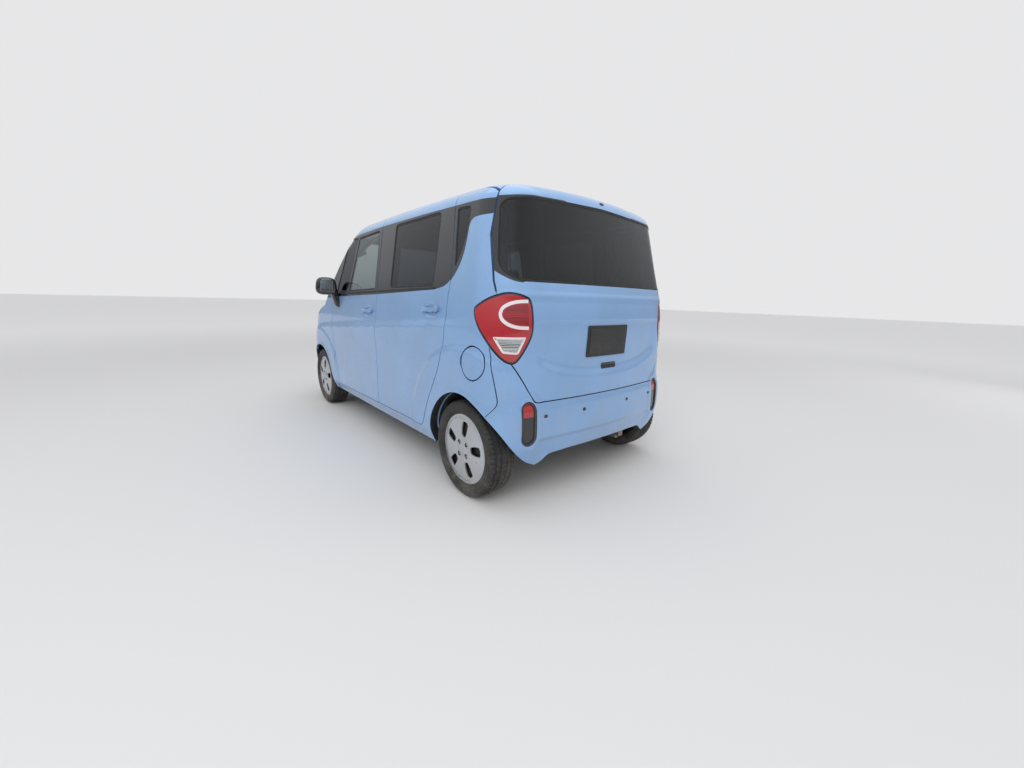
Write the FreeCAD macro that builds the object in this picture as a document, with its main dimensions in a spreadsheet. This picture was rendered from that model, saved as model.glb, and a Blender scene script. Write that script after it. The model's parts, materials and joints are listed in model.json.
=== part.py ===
import FreeCAD, Part
import Sketcher
import math
import os
import re
from FreeCAD import Placement, Rotation, Vector

# Kei car: a tall, short, five-door mini car.
# Frame in millimetres: +X is the car's left, the car faces -Y, +Z is up, and the
# origin is on the ground under the centre of the body.
doc = FreeCAD.newDocument("kei_car")
sheet = doc.addObject("Spreadsheet::Sheet", "sizes")

# Driving sizes, columns: alias, value.
SIZES = [
    ("body_length", 3595), ("body_width", 1595), ("body_height", 1700),
    ("wheelbase", 2520), ("front_overhang", 680),
    ("sill_height", 224), ("belt_height", 1150), ("belt_drop", 62), ("bumper_drop", 76),
    ("panel_gap", 5), ("seat_gap", 0.3),
    ("skin", 28), ("door_depth", 55), ("frame_depth", 100),
    ("glass_set", 4), ("glass_thick", 5),
    ("cowl_set", 667), ("cowl_height", 1045), ("header_set", 1297), ("header_drop", 100),
    ("hood_front_height", 815), ("hood_half", 600),
    ("glass_crown", 160), ("roof_crown", 45), ("roof_half", 640),
    ("door_front", 1102), ("door_split", 2082), ("door_rear", 3040), ("door_bottom", 288),
    ("gate_front", 3318), ("gate_bottom", 590), ("gate_half_low", 555), ("gate_half_belt", 722),
    ("gate_half_top", 677), ("gate_glass_bottom", 1195),
    ("tyre_radius", 278), ("tyre_width", 175), ("rim_radius", 190), ("wheel_face", 785),
    ("cover_radius", 203), ("lug_circle", 100), ("lug_count", 4), ("slot_count", 5),
    ("arch_radius", 325), ("house_inner", 445), ("house_wall", 12),
    ("stub_radius", 14), ("stub_clearance", 0.05), ("hub_radius", 60),
    ("ball_x", 650), ("ball_height", 200), ("ball_radius", 14),
    ("strut_top_x", 530), ("strut_top_height", 835), ("strut_radius", 22),
    ("spring_radius", 52), ("spring_low", 580), ("spring_high", 790), ("leg_set", 24),
    ("flap_radius", 92), ("flap_set", 108), ("flap_height", 781), ("flap_thick", 12),
    ("lamp_shear", 0.17), ("lamp_depth", 70),
    ("mirror_reach", 955), ("mirror_height", 1165), ("mirror_set", 1240),
    ("wheel_rim_radius", 180), ("wheel_rim_thick", 14), ("column_lean", 27),
    ("driver_x", 345), ("driver_set", 1425), ("steering_height", 980),
    ("seat_width", 480), ("seat_front", 1500), ("seat_length", 480), ("seat_height", 560),
    ("seat_thick", 130), ("back_height", 620), ("back_thick", 110), ("back_lean", 18),
    ("head_width", 260), ("head_height", 150), ("head_thick", 90),
    ("bench_width", 1180), ("bench_front", 2230), ("bench_length", 460),
    ("floor_height", 232), ("floor_thick", 24), ("boot_floor", 560),
    ("plate_holes", 210), ("plate_hole_radius", 3), ("plate_height", 892),
    ("plate_width", 350), ("plate_tall", 170),
    ("tow_radius", 9), ("tow_length", 60),
]
for row, (alias, value) in enumerate(SIZES, 1):
    sheet.set("A%d" % row, alias)
    sheet.set("B%d" % row, str(value))
    sheet.setAlias("B%d" % row, alias)
doc.recompute()


def val(alias):
    return float(sheet.get(alias))


# Places along the car are counted from the nose.
nose = -val("body_length") / 2
tail = val("body_length") / 2
half = val("body_width") / 2
height = val("body_height")
belt = val("belt_height")
front_axle = nose + val("front_overhang")
rear_axle = front_axle + val("wheelbase")
gap = val("panel_gap")
tyre_radius = val("tyre_radius")


def along(alias):
    return nose + val(alias)


# Body plan sections, columns: level it is counted from, height over it, side inset,
# rear inset, front inset, rear corner radius, front corner radius.
LEVELS = {"floor": 0.0, "belt": belt, "roof": height}
SECTIONS = [
    ("floor", 190, 52, 55, 95, 200, 330),
    ("floor", 330, 12, 12, 22, 185, 340),
    ("floor", 500, 0, 5, 0, 175, 350),
    ("floor", 620, 0, 20, 6, 180, 350),
    ("floor", 800, 1, 25, 45, 190, 360),
    ("belt", -150, 12, 22, 130, 200, 380),
    ("belt", 0, 29, 42, 280, 200, 380),
    ("roof", -350, 62, 85, 430, 200, 360),
    ("roof", -140, 97, 133, 580, 190, 340),
    ("roof", -90, 108, 145, 600, 180, 330),
    ("roof", -58, 132, 158, 620, 170, 320),
    ("roof", -32, 180, 185, 660, 160, 300),
    ("roof", 20, 260, 240, 720, 140, 260),
]
END_BOW, NOSE_BOW, SIDE_BOW, BOW_Y = 4200, 1700, 150000, 300
CORNER_SHARE = 0.6


def round_corner(big_y, big_radius, corner, side_x, sign):
    """Start, middle and end of the arc of radius corner between an end bow and the side bow."""
    first = Vector(0, big_y, 0)
    second = Vector(side_x - SIDE_BOW, BOW_Y, 0)
    reach_one, reach_two = big_radius - corner, SIDE_BOW - corner
    apart = (second - first).Length
    share = (reach_one ** 2 - reach_two ** 2 + apart ** 2) / (2 * apart)
    rise = math.sqrt(reach_one ** 2 - share ** 2)
    line = (second - first) / apart
    base = first + line * share
    across = Vector(-line.y, line.x, 0) * rise
    centre = max((base + across, base - across), key=lambda p: sign * p.y)
    one = (centre - first).normalize()
    two = (centre - second).normalize()
    middle = (one + two).normalize()
    return first + one * big_radius, centre + middle * corner, second + two * SIDE_BOW


def plan_section(inset, row):
    level, over, side, rear, front, rear_corner, front_corner = row
    up = Vector(0, 0, LEVELS[level] + over)
    x = half - side - inset
    y_rear, y_front = tail - rear - inset, nose + front + inset
    cut = CORNER_SHARE * inset
    r1, r2, r3 = round_corner(y_rear - END_BOW + inset, END_BOW - inset, rear_corner - cut, x, 1)
    f1, f2, f3 = round_corner(y_front + NOSE_BOW - inset, NOSE_BOW - inset, front_corner - cut, x, -1)

    def arc(*points):
        return Part.Arc(*[p + up for p in points]).toShape()

    def flip(p):
        return Vector(-p.x, p.y, p.z)

    return Part.Wire([
        arc(flip(r1), Vector(0, y_rear, 0), r1), arc(r1, r2, r3),
        arc(r3, Vector(x, BOW_Y, 0), f3), arc(f3, f2, f1),
        arc(f1, Vector(0, y_front, 0), flip(f1)), arc(flip(f1), flip(f2), flip(f3)),
        arc(flip(f3), Vector(-x, BOW_Y, 0), flip(r3)), arc(flip(r3), flip(r2), flip(r1)),
    ])


# Side profile of hood, windscreen and roof on the centre line.
PROFILE_HALF = 800
PROFILE_EXTRA = 250
TOP_SHIFT = 0.47


def top_solid(inset):
    """Everything under the hood, windscreen and roof, crowned across the car."""
    cowl_y, cowl_z = along("cowl_set"), val("cowl_height")
    header_y, header_z = along("header_set"), height - val("header_drop")
    hood_z = val("hood_front_height") - 45
    shift = Vector(0, TOP_SHIFT * inset, -inset)

    def profile(x, back, down):
        def at(y, z):
            return Vector(x, y + back, z - down) + shift

        low_front = at(nose - PROFILE_EXTRA, -PROFILE_EXTRA)
        high_front = at(nose - PROFILE_EXTRA, hood_z - 90)
        lip, hood_mid = at(nose + 8, hood_z), at((nose + cowl_y) / 2 - 15, (hood_z + cowl_z) / 2 + 42)
        cowl = at(cowl_y, cowl_z)
        screen_mid = at((cowl_y + header_y) / 2 - 15, (cowl_z + header_z) / 2 + 18)
        header = at(header_y, header_z)
        roof_front = at(header_y + 300, height - 22)
        roof_mid, roof_rear = at(header_y + 1400, height), at(tail + PROFILE_EXTRA, height - 28)
        low_rear = at(tail + PROFILE_EXTRA, -PROFILE_EXTRA)
        brow = at(header_y + 108, header_z + 47)
        return Part.Wire([
            Part.LineSegment(low_front, high_front).toShape(),
            Part.LineSegment(high_front, lip).toShape(),
            Part.Arc(lip, hood_mid, cowl).toShape(),
            Part.Arc(cowl, screen_mid, header).toShape(),
            Part.Arc(header, brow, roof_front).toShape(),
            Part.Arc(roof_front, roof_mid, roof_rear).toShape(),
            Part.LineSegment(roof_rear, low_rear).toShape(),
            Part.LineSegment(low_rear, low_front).toShape(),
        ])

    back, down = val("glass_crown"), val("roof_crown")
    wires = [profile(-PROFILE_HALF, back, down), profile(0, 0, 0), profile(PROFILE_HALF, back, down)]
    return Part.makeLoft(wires, True, False)


bodies_made = {}


def walls_solid(inset):
    """The form inside the side walls, nose and tail, open at the top."""
    return Part.makeLoft([plan_section(inset, row) for row in SECTIONS], True, False)


def body_solid(inset):
    """The whole outer form, moved inwards by inset."""
    if inset not in bodies_made:
        bodies_made[inset] = walls_solid(inset).common(top_solid(inset))
    return bodies_made[inset]


def layer(outer, inner, zone):
    """The body's wall between two depths, within a zone."""
    return body_solid(outer).common(zone).cut(body_solid(inner))


def prism(points, start, run):
    """A closed polygon pushed along run, where points are 3D and start shifts them."""
    wire = Part.makePolygon([p + start for p in points] + [points[0] + start])
    return Part.Face(wire).extrude(run)


def side_prism(outline, x_low, x_high):
    """Outline in (y, z), pushed across the car."""
    points = [Vector(0, y, z) for y, z in outline]
    return prism(points, Vector(x_low, 0, 0), Vector(x_high - x_low, 0, 0))


def end_prism(outline, y_low, y_high, shear=0.0, y_true=0.0):
    """Outline in (x, z) at y_true, pushed along the car, rising by shear."""
    points = [Vector(x, 0, z + shear * (y_low - y_true)) for x, z in outline]
    return prism(points, Vector(0, y_low, 0), Vector(0, y_high - y_low, shear * (y_high - y_low)))


def block(x0, x1, y0, y1, z0, z1):
    return Part.makeBox(x1 - x0, y1 - y0, z1 - z0, Vector(x0, y0, z0))


def mirror(shape):
    return shape.mirror(Vector(0, 0, 0), Vector(1, 0, 0))


def grow(outline, by):
    """A polygon moved outwards by a distance, or inwards if it is negative."""
    face = Part.Face(Part.makePolygon([Vector(a, b, 0) for a, b in outline + outline[:1]]))
    wire = face.makeOffset2D(by, 2).OuterWire
    return [(p.Point.x, p.Point.y) for p in wire.OrderedVertexes]


nodes = []


def feature(label, shape):
    item = doc.addObject("Part::Feature", label)
    item.Label = label
    item.Shape = shape
    item.Placement = Placement()
    nodes.append(item)
    return item


WIDE = half + 60

# Side outlines, columns: y, z. Doors, then the windows in them.
front_y, split_y, rear_y = along("door_front"), along("door_split"), along("door_rear")
door_low = val("door_bottom")
low_rise = 22
top_z = height + 40
belt_front = belt - val("belt_drop")
pillar_lean = 38
DOOR_FRONT = [
    (front_y, door_low), (split_y - gap, door_low + low_rise * 0.7), (split_y - gap, belt - 40),
    (split_y - gap - 25, height - 90), (split_y - gap - 32, top_z), (front_y + 330, top_z),
    (front_y + 235, height - 150), (front_y - 8, belt_front + 75), (front_y - 42, belt_front - 30),
    (front_y - 12, 800),
]
arch_rear_edge = rear_axle - val("arch_radius")
DOOR_REAR = [
    (split_y, door_low + low_rise * 0.7), (arch_rear_edge - 120, door_low + low_rise),
    (arch_rear_edge - 92, door_low + 45), (arch_rear_edge - 10, 520), (rear_y - 47, 730),
    (rear_y - 2, 900), (rear_y, belt - 20), (rear_y + 16, belt + 63), (rear_y - 50, height - 60),
    (rear_y - 60, top_z), (split_y - 32, top_z), (split_y - 25, height - 90), (split_y, belt - 40),
]
WINDOW_FRONT = [
    (front_y + 85, belt_front + 28), (split_y - 40, belt - 4), (split_y - 68, height - 136),
    (front_y + 300, height - 138), (front_y + 262, height - 165),
]
WINDOW_REAR = [
    (split_y + 215, belt + 4), (rear_y - 165, belt + 16), (rear_y - 180, height - 118),
    (split_y + 195, height - 126),
]
QUARTER = [
    (rear_y + 34, belt + 112), (rear_y + 70, belt + 175), (rear_y + 100, belt + 260),
    (rear_y + 122, height - 190), (rear_y + 122, height - 122), (rear_y - 24, height - 122),
]
# The rear seam of a door leans forward with depth, so that the door swings clear.
DOOR_SLANT = 0.085


def door_prism(outline, extra):
    """A door's outline from its roof seam outwards, its rear side cut back with depth."""
    grown = grow(outline, extra) if extra else outline
    low_y = min(y for y, z in grown)
    x_in, x_out = roof_half - extra, WIDE
    long = max(y for y, z in grown) - low_y
    rows = []
    for x in (x_out, x_in):
        back = DOOR_SLANT * (half - x)
        share = [(y - low_y) / long > 0.42 for y, z in grown]
        rows.append([Vector(x, y - back * s, z) for (y, z), s in zip(grown, share)])
    wires = [Part.makePolygon(row + row[:1]) for row in rows]
    return Part.makeLoft(wires, True, True)


# Doors of the left side; the right side is their mirror.
side_x = 560
roof_half = val("roof_half")
skin, door_depth = val("skin"), val("door_depth")
glass_out, glass_in = val("glass_set"), val("glass_set") + val("glass_thick")
fit = val("seat_gap")
DOORS = [("front_door", DOOR_FRONT, WINDOW_FRONT), ("rear_door", DOOR_REAR, WINDOW_REAR)]
# Along the windscreen pillar a front door is no deeper than its side wall, or it would hook the frame.
pillar_core = walls_solid(door_depth).common(block(0, half, nose, split_y - 300, 0, height - 190))
for name, outline, window in DOORS:
    door = layer(0, door_depth, door_prism(outline, 0)).cut([side_prism(window, side_x, WIDE), pillar_core])
    pane = layer(glass_out, glass_in, side_prism(grow(window, -fit), roof_half, WIDE))
    for side, make in (("left", lambda s: s), ("right", mirror)):
        label = "sliding_door" if (name, side) == ("rear_door", "right") else name + "_" + side
        feature(label, make(door))
        feature(label + "_glass", make(pane))


def both(shape):
    """A shape and its mirror as one compound of two solids."""
    return Part.makeCompound([shape, mirror(shape)])


def tube_x(radius, x_low, x_high, y, z):
    return Part.makeCylinder(radius, x_high - x_low, Vector(x_low, y, z), Vector(1, 0, 0))


# End outlines, columns: x, z. Tailgate, its window, tail lamp and windscreen.
gate_front, gate_low = along("gate_front"), val("gate_bottom")
half_low, half_belt, half_top = val("gate_half_low"), val("gate_half_belt"), val("gate_half_top")
glass_low = val("gate_glass_bottom")
axle_z = tyre_radius
lamp_low, lamp_high = belt - 350, belt - 12
GATE_HALF = [
    (half_low, gate_low), (half_belt - 26, lamp_low - 2), (half_belt, glass_low),
    (half_top, height - 130), (half_top - 20, height - 62), (roof_half, height - 42),
    (roof_half, top_z),
]
GATE_WINDOW_HALF = [
    (half_belt - 85, glass_low), (half_belt - 35, glass_low + 28), (half_belt - 24, glass_low + 90),
    (half_top - 24, height - 128), (half_top - 160, height - 100),
]
LAMP_REAR = [
    (half_belt - 22, lamp_low), (half_belt - 133, lamp_low + 148), (half_belt - 116, lamp_high - 30),
    (half_belt - 60, lamp_high - 4), (WIDE, lamp_high), (WIDE, lamp_low),
]
LAMP_SIDE = [
    (tail + 50, lamp_high), (tail - 110, lamp_high), (tail - 235, lamp_high - 20),
    (tail - 292, lamp_high - 76), (tail - 272, lamp_low + 160), (tail - 198, lamp_low + 60),
    (tail - 108, lamp_low), (tail + 50, lamp_low - 10),
]
SCREEN_HALF = [
    (roof_half + 50, val("cowl_height") + 17), (roof_half - 30, height - 140),
    (roof_half - 90, height - 125),
]


def whole(outline):
    """A half outline and its mirror image as one polygon."""
    return outline + [(-x, z) for x, z in reversed(outline)]


shear, deep = val("lamp_shear"), tail - 160


def lamp_tool(extra):
    rear = end_prism(grow(LAMP_REAR, extra) if extra else LAMP_REAR, 1000, tail + 60, shear, deep)
    return rear.common(side_prism(grow(LAMP_SIDE, extra) if extra else LAMP_SIDE, 0, WIDE + 20))


def gate_tool(extra):
    outline = grow(whole(GATE_HALF), extra) if extra else whole(GATE_HALF)
    return end_prism(outline, gate_front - extra, tail + 60)


screen_y = along("header_set") + 260
screen_tool = end_prism(whole(SCREEN_HALF), nose, screen_y)
screen_pane = end_prism(grow(whole(SCREEN_HALF), -fit), nose, screen_y)
gate_window = end_prism(whole(GATE_WINDOW_HALF), gate_front, tail + 60)
gate_pane = end_prism(grow(whole(GATE_WINDOW_HALF), -fit), gate_front, tail + 60)
seam = 1.5
frame_start, frame_depth = door_depth + fit, val("frame_depth")
sill = val("sill_height")
arch = val("arch_radius")
house_inner = val("house_inner")
cowl_y, cowl_z = along("cowl_set"), val("cowl_height")

# Wheel arches, one hole through each side of the body.
arches = Part.makeCompound([tube_x(arch, house_inner, WIDE, y, axle_z) for y in (front_axle, rear_axle)])

# Bumper zones in side view, columns: y, z.
bumper_top = 645
front_arch_edge, rear_arch_edge = front_axle - arch, rear_axle + arch
BUMPER_REAR = [
    (rear_axle + 190, sill + 20), (tail + 50, sill + 20), (tail + 50, lamp_low + 90),
    (tail - 190, lamp_low + 82), (rear_axle + 265, 585), (rear_axle + 190, 480),
]
BUMPER_FRONT = [
    (nose - 50, sill - 14), (front_axle - 200, sill - 14), (front_axle - 215, 520),
    (front_axle - 290, bumper_top), (nose - 50, bumper_top),
]
bumper_depth = 36
rear_zone = side_prism(BUMPER_REAR, -WIDE, WIDE)
front_zone = side_prism(BUMPER_FRONT, -WIDE, WIDE)

# Fuel flap on the left quarter.
flap_y, flap_z, flap_radius = rear_axle + val("flap_set"), val("flap_height"), val("flap_radius")
flap_thick, flap_pocket, flap_gap = val("flap_thick"), 70, 4

# Body sides: outer wall outside the doors, and the frame that the doors close on.
lip = 35
pillar_foot = belt_front - 15
SIDE_ZONE = [
    (front_y + seam, sill), (tail + 50, sill), (tail + 50, top_z), (cowl_y - 60, top_z),
    (cowl_y - 60, pillar_foot), (front_y - 42, pillar_foot), (front_y - 10, 800),
]
wall = layer(0, frame_depth, side_prism(SIDE_ZONE, side_x, WIDE))
inner = layer(frame_start, frame_depth, side_prism(
    [(front_y - 60, sill), (tail, sill), (tail, top_z), (front_y - 60, top_z)], side_x, WIDE))
roof_seat = layer(0, skin + fit, block(side_x, roof_half, cowl_y, tail, height - 200, top_z))
wall = wall.cut([arches, lamp_tool(gap), rear_zone, gate_tool(gap), roof_seat]
                + [door_prism(outline, gap) for name, outline, window in DOORS])
inner = inner.cut([arches, end_prism(grow(whole(GATE_HALF), -lip), gate_front + lip, tail + 60)]
                  + [side_prism(grow(outline, -lip), side_x - 40, WIDE) for name, outline, window in DOORS])
gate_zone = block(side_x, WIDE, gate_front - gap, tail + 60, 0, top_z)
gate_room = layer(0, frame_start, gate_tool(gap).common(gate_zone))
lamp_room = layer(0, val("lamp_depth") + fit, lamp_tool(gap))
# The upper front corner of a front door sinks as it starts to swing, so the frame stands back there.
corner_room, corner_reach, corner_drop = 14, 450, 260
corner = block(side_x, WIDE, front_y, front_y + corner_reach, height - corner_drop, top_z)
inner = inner.cut(corner.cut(body_solid(door_depth + corner_room)))
side = wall.fuse(inner).cut([screen_tool, gate_room, lamp_room, side_prism(QUARTER, roof_half, WIDE)])
quarter_pane = side_prism(grow(QUARTER, -fit), roof_half, WIDE)
no_post = block(side_x - 40, WIDE, split_y - 80, split_y + 80, door_low + lip, height - 130).common(
    body_solid(frame_start - 2))
flap_seat = layer(0, flap_thick + fit, tube_x(flap_radius, half - flap_pocket, WIDE, flap_y, flap_z))
filler_hole = tube_x(flap_radius * 0.66, half - flap_pocket, WIDE, flap_y, flap_z)
feature("body_side_left", side.cut([flap_seat, filler_hole]))
feature("body_side_right", mirror(side.cut(no_post)))
feature("quarter_windows", both(layer(glass_out, glass_in, quarter_pane)))
flap_zone = tube_x(flap_radius - flap_gap, half - flap_pocket, WIDE, flap_y, flap_z)
feature("fuel_flap", layer(0, flap_thick, flap_zone))

# Roof between the side seams.
roof_zone = block(-roof_half + gap, roof_half - gap, along("header_set") - 60, gate_front - gap,
                  height - 190, top_z)
feature("roof_panel", layer(0, skin, roof_zone).cut(screen_tool))
feature("windscreen", layer(glass_out, glass_in + 1, screen_pane))

# Tailgate, notched round the tail lamps, with only its skin close to them.
flange, notch_reach = 25, 30
notch = end_prism(grow(LAMP_REAR, notch_reach), 1000, tail + 60, shear, deep).common(body_solid(flange))
gate = layer(0, door_depth, gate_tool(0)).cut([lamp_tool(gap), mirror(lamp_tool(gap)), notch, mirror(notch)])
plate_z, plate_tall, plate_half = val("plate_height"), val("plate_tall"), val("plate_width") / 2
recess_y = tail - 50
RECESS = [
    (tail + 20, plate_z + 112), (recess_y, plate_z + 108), (recess_y, plate_z - 90),
    (tail - 22, plate_z - 150), (tail + 20, plate_z - 160),
]
gate = gate.cut([gate_window, side_prism(RECESS, -half_low + 130, half_low - 130)])
feature("tailgate", gate)
plate_low, plate_high = plate_z - plate_tall / 2, plate_z + plate_tall / 2
bracket = block(-plate_half, plate_half, recess_y + fit, recess_y + 8, plate_low, plate_high)
for sign in (-1, 1):
    bracket = bracket.cut(Part.makeCylinder(val("plate_hole_radius"), 30, Vector(
        sign * val("plate_holes") / 2, recess_y - 5, plate_high - 25), Vector(0, 1, 0)))
feature("plate_bracket", bracket)
feature("tailgate_glass", layer(glass_out, glass_in, gate_pane))
feature("tail_lamps", both(layer(2, val("lamp_depth"), lamp_tool(0))))

# Bumpers.
lamps = [lamp_tool(gap), mirror(lamp_tool(gap))]
rear_bumper = layer(0, bumper_depth, side_prism(grow(BUMPER_REAR, -seam), -WIDE, WIDE))
feature("rear_bumper", rear_bumper.cut([gate_tool(gap), arches, mirror(arches)] + lamps))
grille_half, grille_low, grille_high = 430, 335, 480
LOWER_GRILLE = [(grille_half - 60, grille_low), (grille_half, grille_high)]
lower_grille = end_prism(whole(LOWER_GRILLE), nose - 50, nose + 300)
front_bumper = layer(0, bumper_depth, front_zone)
tow_x, tow_z = 300, 504
tow_hole = Part.makeCylinder(16, 200, Vector(tow_x, nose - 20, tow_z), Vector(0, 1, 0))
feature("front_bumper", front_bumper.cut([arches, mirror(arches), lower_grille, tow_hole]))

# Hood, head lamps, grilles and fenders.
hood_z, hood_half = val("hood_front_height"), val("hood_half")
hood_back = cowl_y - 18
hood_zone = block(-hood_half, hood_half, nose - 50, hood_back, hood_z, top_z)
hood_thick = 22
feature("hood", layer(0, hood_thick, hood_zone))
HEAD_LAMP = [
    (grille_half + 6, bumper_top + 12), (hood_half, bumper_top + 5), (WIDE, bumper_top + 60),
    (WIDE, hood_z + 62), (hood_half + gap, hood_z + 48), (hood_half + gap, hood_z - gap),
    (grille_half + 6, hood_z - 50),
]
lamp_back = nose + 330
head_tool = end_prism(HEAD_LAMP, nose - 50, lamp_back)
head_lamps = layer(2, 80, end_prism(grow(HEAD_LAMP, -fit), nose - 50, lamp_back - seam))
feature("head_lamps", both(head_lamps))
upper_grille = block(-grille_half, grille_half, nose - 50, nose + 200, bumper_top + fit, hood_z - gap)
lower_zone = end_prism(grow(whole(LOWER_GRILLE), -fit), nose - 50, nose + 300)
feature("grilles", Part.makeCompound([layer(4, 40, upper_grille), layer(14, 30, lower_zone)]))
grille_zone = block(-WIDE, WIDE, nose - 50, nose + 300, bumper_top - 60, hood_z - gap + fit)
upper_room = layer(0, 40 + fit, grille_zone)
FENDER = [
    (front_y - gap, sill), (front_y - 12 - gap, 800), (front_y - 42 - gap, pillar_foot - seam),
    (nose - 50, pillar_foot - seam), (nose - 50, sill),
]
fender = layer(0, skin, side_prism(FENDER, 0, WIDE)).cut([
    front_zone, arches, head_tool, screen_tool,
    block(0, hood_half + gap, nose - 50, hood_back + gap, hood_z - gap, top_z),
    block(0, grille_half + seam, nose - 50, nose + 200, 0, hood_z),
    block(0, hood_half + gap, hood_back, front_y, 0, top_z)])
feature("front_fenders", both(fender))
cowl_half = hood_half + gap - fit
cowl_zone = block(-cowl_half, cowl_half, hood_back + gap, front_y - 60, cowl_z - 150, pillar_foot)
feature("cowl", layer(3, 25, cowl_zone).cut(screen_tool))


# Door mirrors, seated on the door skin below the window's front corner.
mirror_y, mirror_z, reach = along("mirror_set"), val("mirror_height"), val("mirror_reach")
housing = block(reach - 150, reach, mirror_y - 55, mirror_y + 42, mirror_z - 72, mirror_z + 76)
housing = housing.makeFillet(26, housing.Edges)
FOOT = [(half - 60, belt_front - 105), (half + 8, belt_front - 95), (reach - 95, mirror_z - 50),
        (reach - 95, mirror_z - 5), (half - 60, mirror_z - 5)]
foot = end_prism(FOOT, mirror_y - 25, mirror_y + 25)
housing = housing.fuse(foot).cut(body_solid(0))
housing = max(housing.Solids, key=lambda piece: piece.Volume)
feature("mirror_left", housing)
feature("mirror_right", mirror(housing))


# The pieces below are built from bound solids: each size and place is an expression of the sheet.
FRONT_AXLE = "(-body_length / 2 + front_overhang)"
REAR_AXLE = "(-body_length / 2 + front_overhang + wheelbase)"
count = [0]


def bind(item, prop, text):
    named = re.sub(r"\b([a-z]+(?:_[a-z]+)+|wheelbase)\b", r"sizes.\1", str(text))
    item.setExpression(prop, named)


def solid(kind, place, turn=None, **props):
    count[0] += 1
    item = doc.addObject("Part::" + kind, "%s_%d" % (kind.lower(), count[0]))
    if turn:
        item.Placement = Placement(Vector(), Rotation(Vector(*turn[:3]), turn[3]))
    for axis, text in zip("xyz", place):
        bind(item, "Placement.Base." + axis, text)
    for prop, text in props.items():
        bind(item, prop, text)
    return item


def brick(x, y, z, dx, dy, dz, turn=None):
    return solid("Box", (x, y, z), turn, Length=dx, Width=dy, Height=dz)


def rod(x, y, z, radius, run, turn=(0, 1, 0, 90)):
    return solid("Cylinder", (x, y, z), turn, Radius=radius, Height=run)


def joined(label, items):
    item = doc.addObject("Part::MultiFuse", label)
    item.Label = label
    item.Shapes = items
    item.Refine = True
    return item


def less(base, tools):
    for tool in tools:
        item = doc.addObject("Part::Cut", "cut_%d" % count[0])
        count[0] += 1
        item.Base, item.Tool = base, tool
        base = item
    return base


def mirrored(source, label=None):
    item = doc.addObject("Part::Mirroring", "mirror_%d" % count[0])
    count[0] += 1
    item.Source = source
    item.Normal = Vector(1, 0, 0)
    item.Base = Vector(0, 0, 0)
    if label:
        item.Label = label
    return item


def set_of(label, items):
    item = doc.addObject("Part::Compound", label)
    item.Label = label
    item.Links = items
    return item


def keep(item):
    nodes.append(item)
    return item


# Wheels: one revolved section for the tyre and one for rim, disc and cover.
def polygon(sketch, points):
    """A closed polygon whose corners are bound to (across, up) expressions, all positive."""
    total = len(points)
    spots = [Vector(20 + 15 * i, 300 + 5 * (i * 7 % 5), 0) for i in range(total)]
    for i in range(total):
        sketch.addGeometry(Part.LineSegment(spots[i], spots[(i + 1) % total]))
    for i in range(total):
        sketch.addConstraint(Sketcher.Constraint("Coincident", i, 2, (i + 1) % total, 1))
    for i, (across, up) in enumerate(points):
        for kind, text, start in (("DistanceX", across, spots[i].x), ("DistanceY", up, spots[i].y)):
            if text == 0:
                sketch.addConstraint(Sketcher.Constraint("PointOnObject", i, 1, -1))
            else:
                number = sketch.addConstraint(Sketcher.Constraint(kind, -1, 1, i, 1, start))
                bind(sketch, "Constraints[%d]" % number, text)


def new_sketch(body, role, name):
    plane = [f for f in body.Origin.OriginFeatures if f.Role == role]
    sketch = body.newObject("Sketcher::SketchObject", name)
    sketch.AttachmentSupport = [(plane[0], "")]
    sketch.MapMode = "FlatFace"
    return sketch


def revolved(label, points):
    """A body turned about its own X axis from a polygon of (x, radius) expressions."""
    body = doc.addObject("PartDesign::Body", label)
    body.Label = label
    sketch = new_sketch(body, "XZ_Plane", label + "_section")
    polygon(sketch, points)
    turned = body.newObject("PartDesign::Revolution", label + "_turned")
    turned.Profile = sketch
    turned.ReferenceAxis = (sketch, ["H_Axis"])
    turned.Angle = 360
    body.Tip = turned
    return body


def pierce(body, name, points, circle, copies):
    """Openings through the disc, repeated round the axle."""
    sketch = new_sketch(body, "YZ_Plane", name + "_outline")
    if points:
        polygon(sketch, points)
    else:
        across, radius = circle
        sketch.addGeometry(Part.Circle(Vector(30, 30, 0), Vector(0, 0, 1), 5))
        sizes = (("DistanceX", across, 30), ("DistanceY", across, 30))
        for kind, text, start in sizes:
            number = sketch.addConstraint(Sketcher.Constraint(kind, -1, 1, 0, 3, start))
            bind(sketch, "Constraints[%d]" % number, text)
        number = sketch.addConstraint(Sketcher.Constraint("Radius", 0, 5))
        bind(sketch, "Constraints[%d]" % number, radius)
    doc.recompute()
    pocket = body.newObject("PartDesign::Pocket", name + "_pocket")
    pocket.Profile = sketch
    pocket.Type = "ThroughAll"
    pocket.Midplane = True
    body.Tip = pocket
    pattern = body.newObject("PartDesign::PolarPattern", name + "_ring")
    pattern.Originals = [pocket]
    axis = [f for f in body.Origin.OriginFeatures if f.Role == "X_Axis"]
    pattern.Axis = (axis[0], [""])
    pattern.Angle = 360
    bind(pattern, "Occurrences", copies)
    body.Tip = pattern


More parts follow.
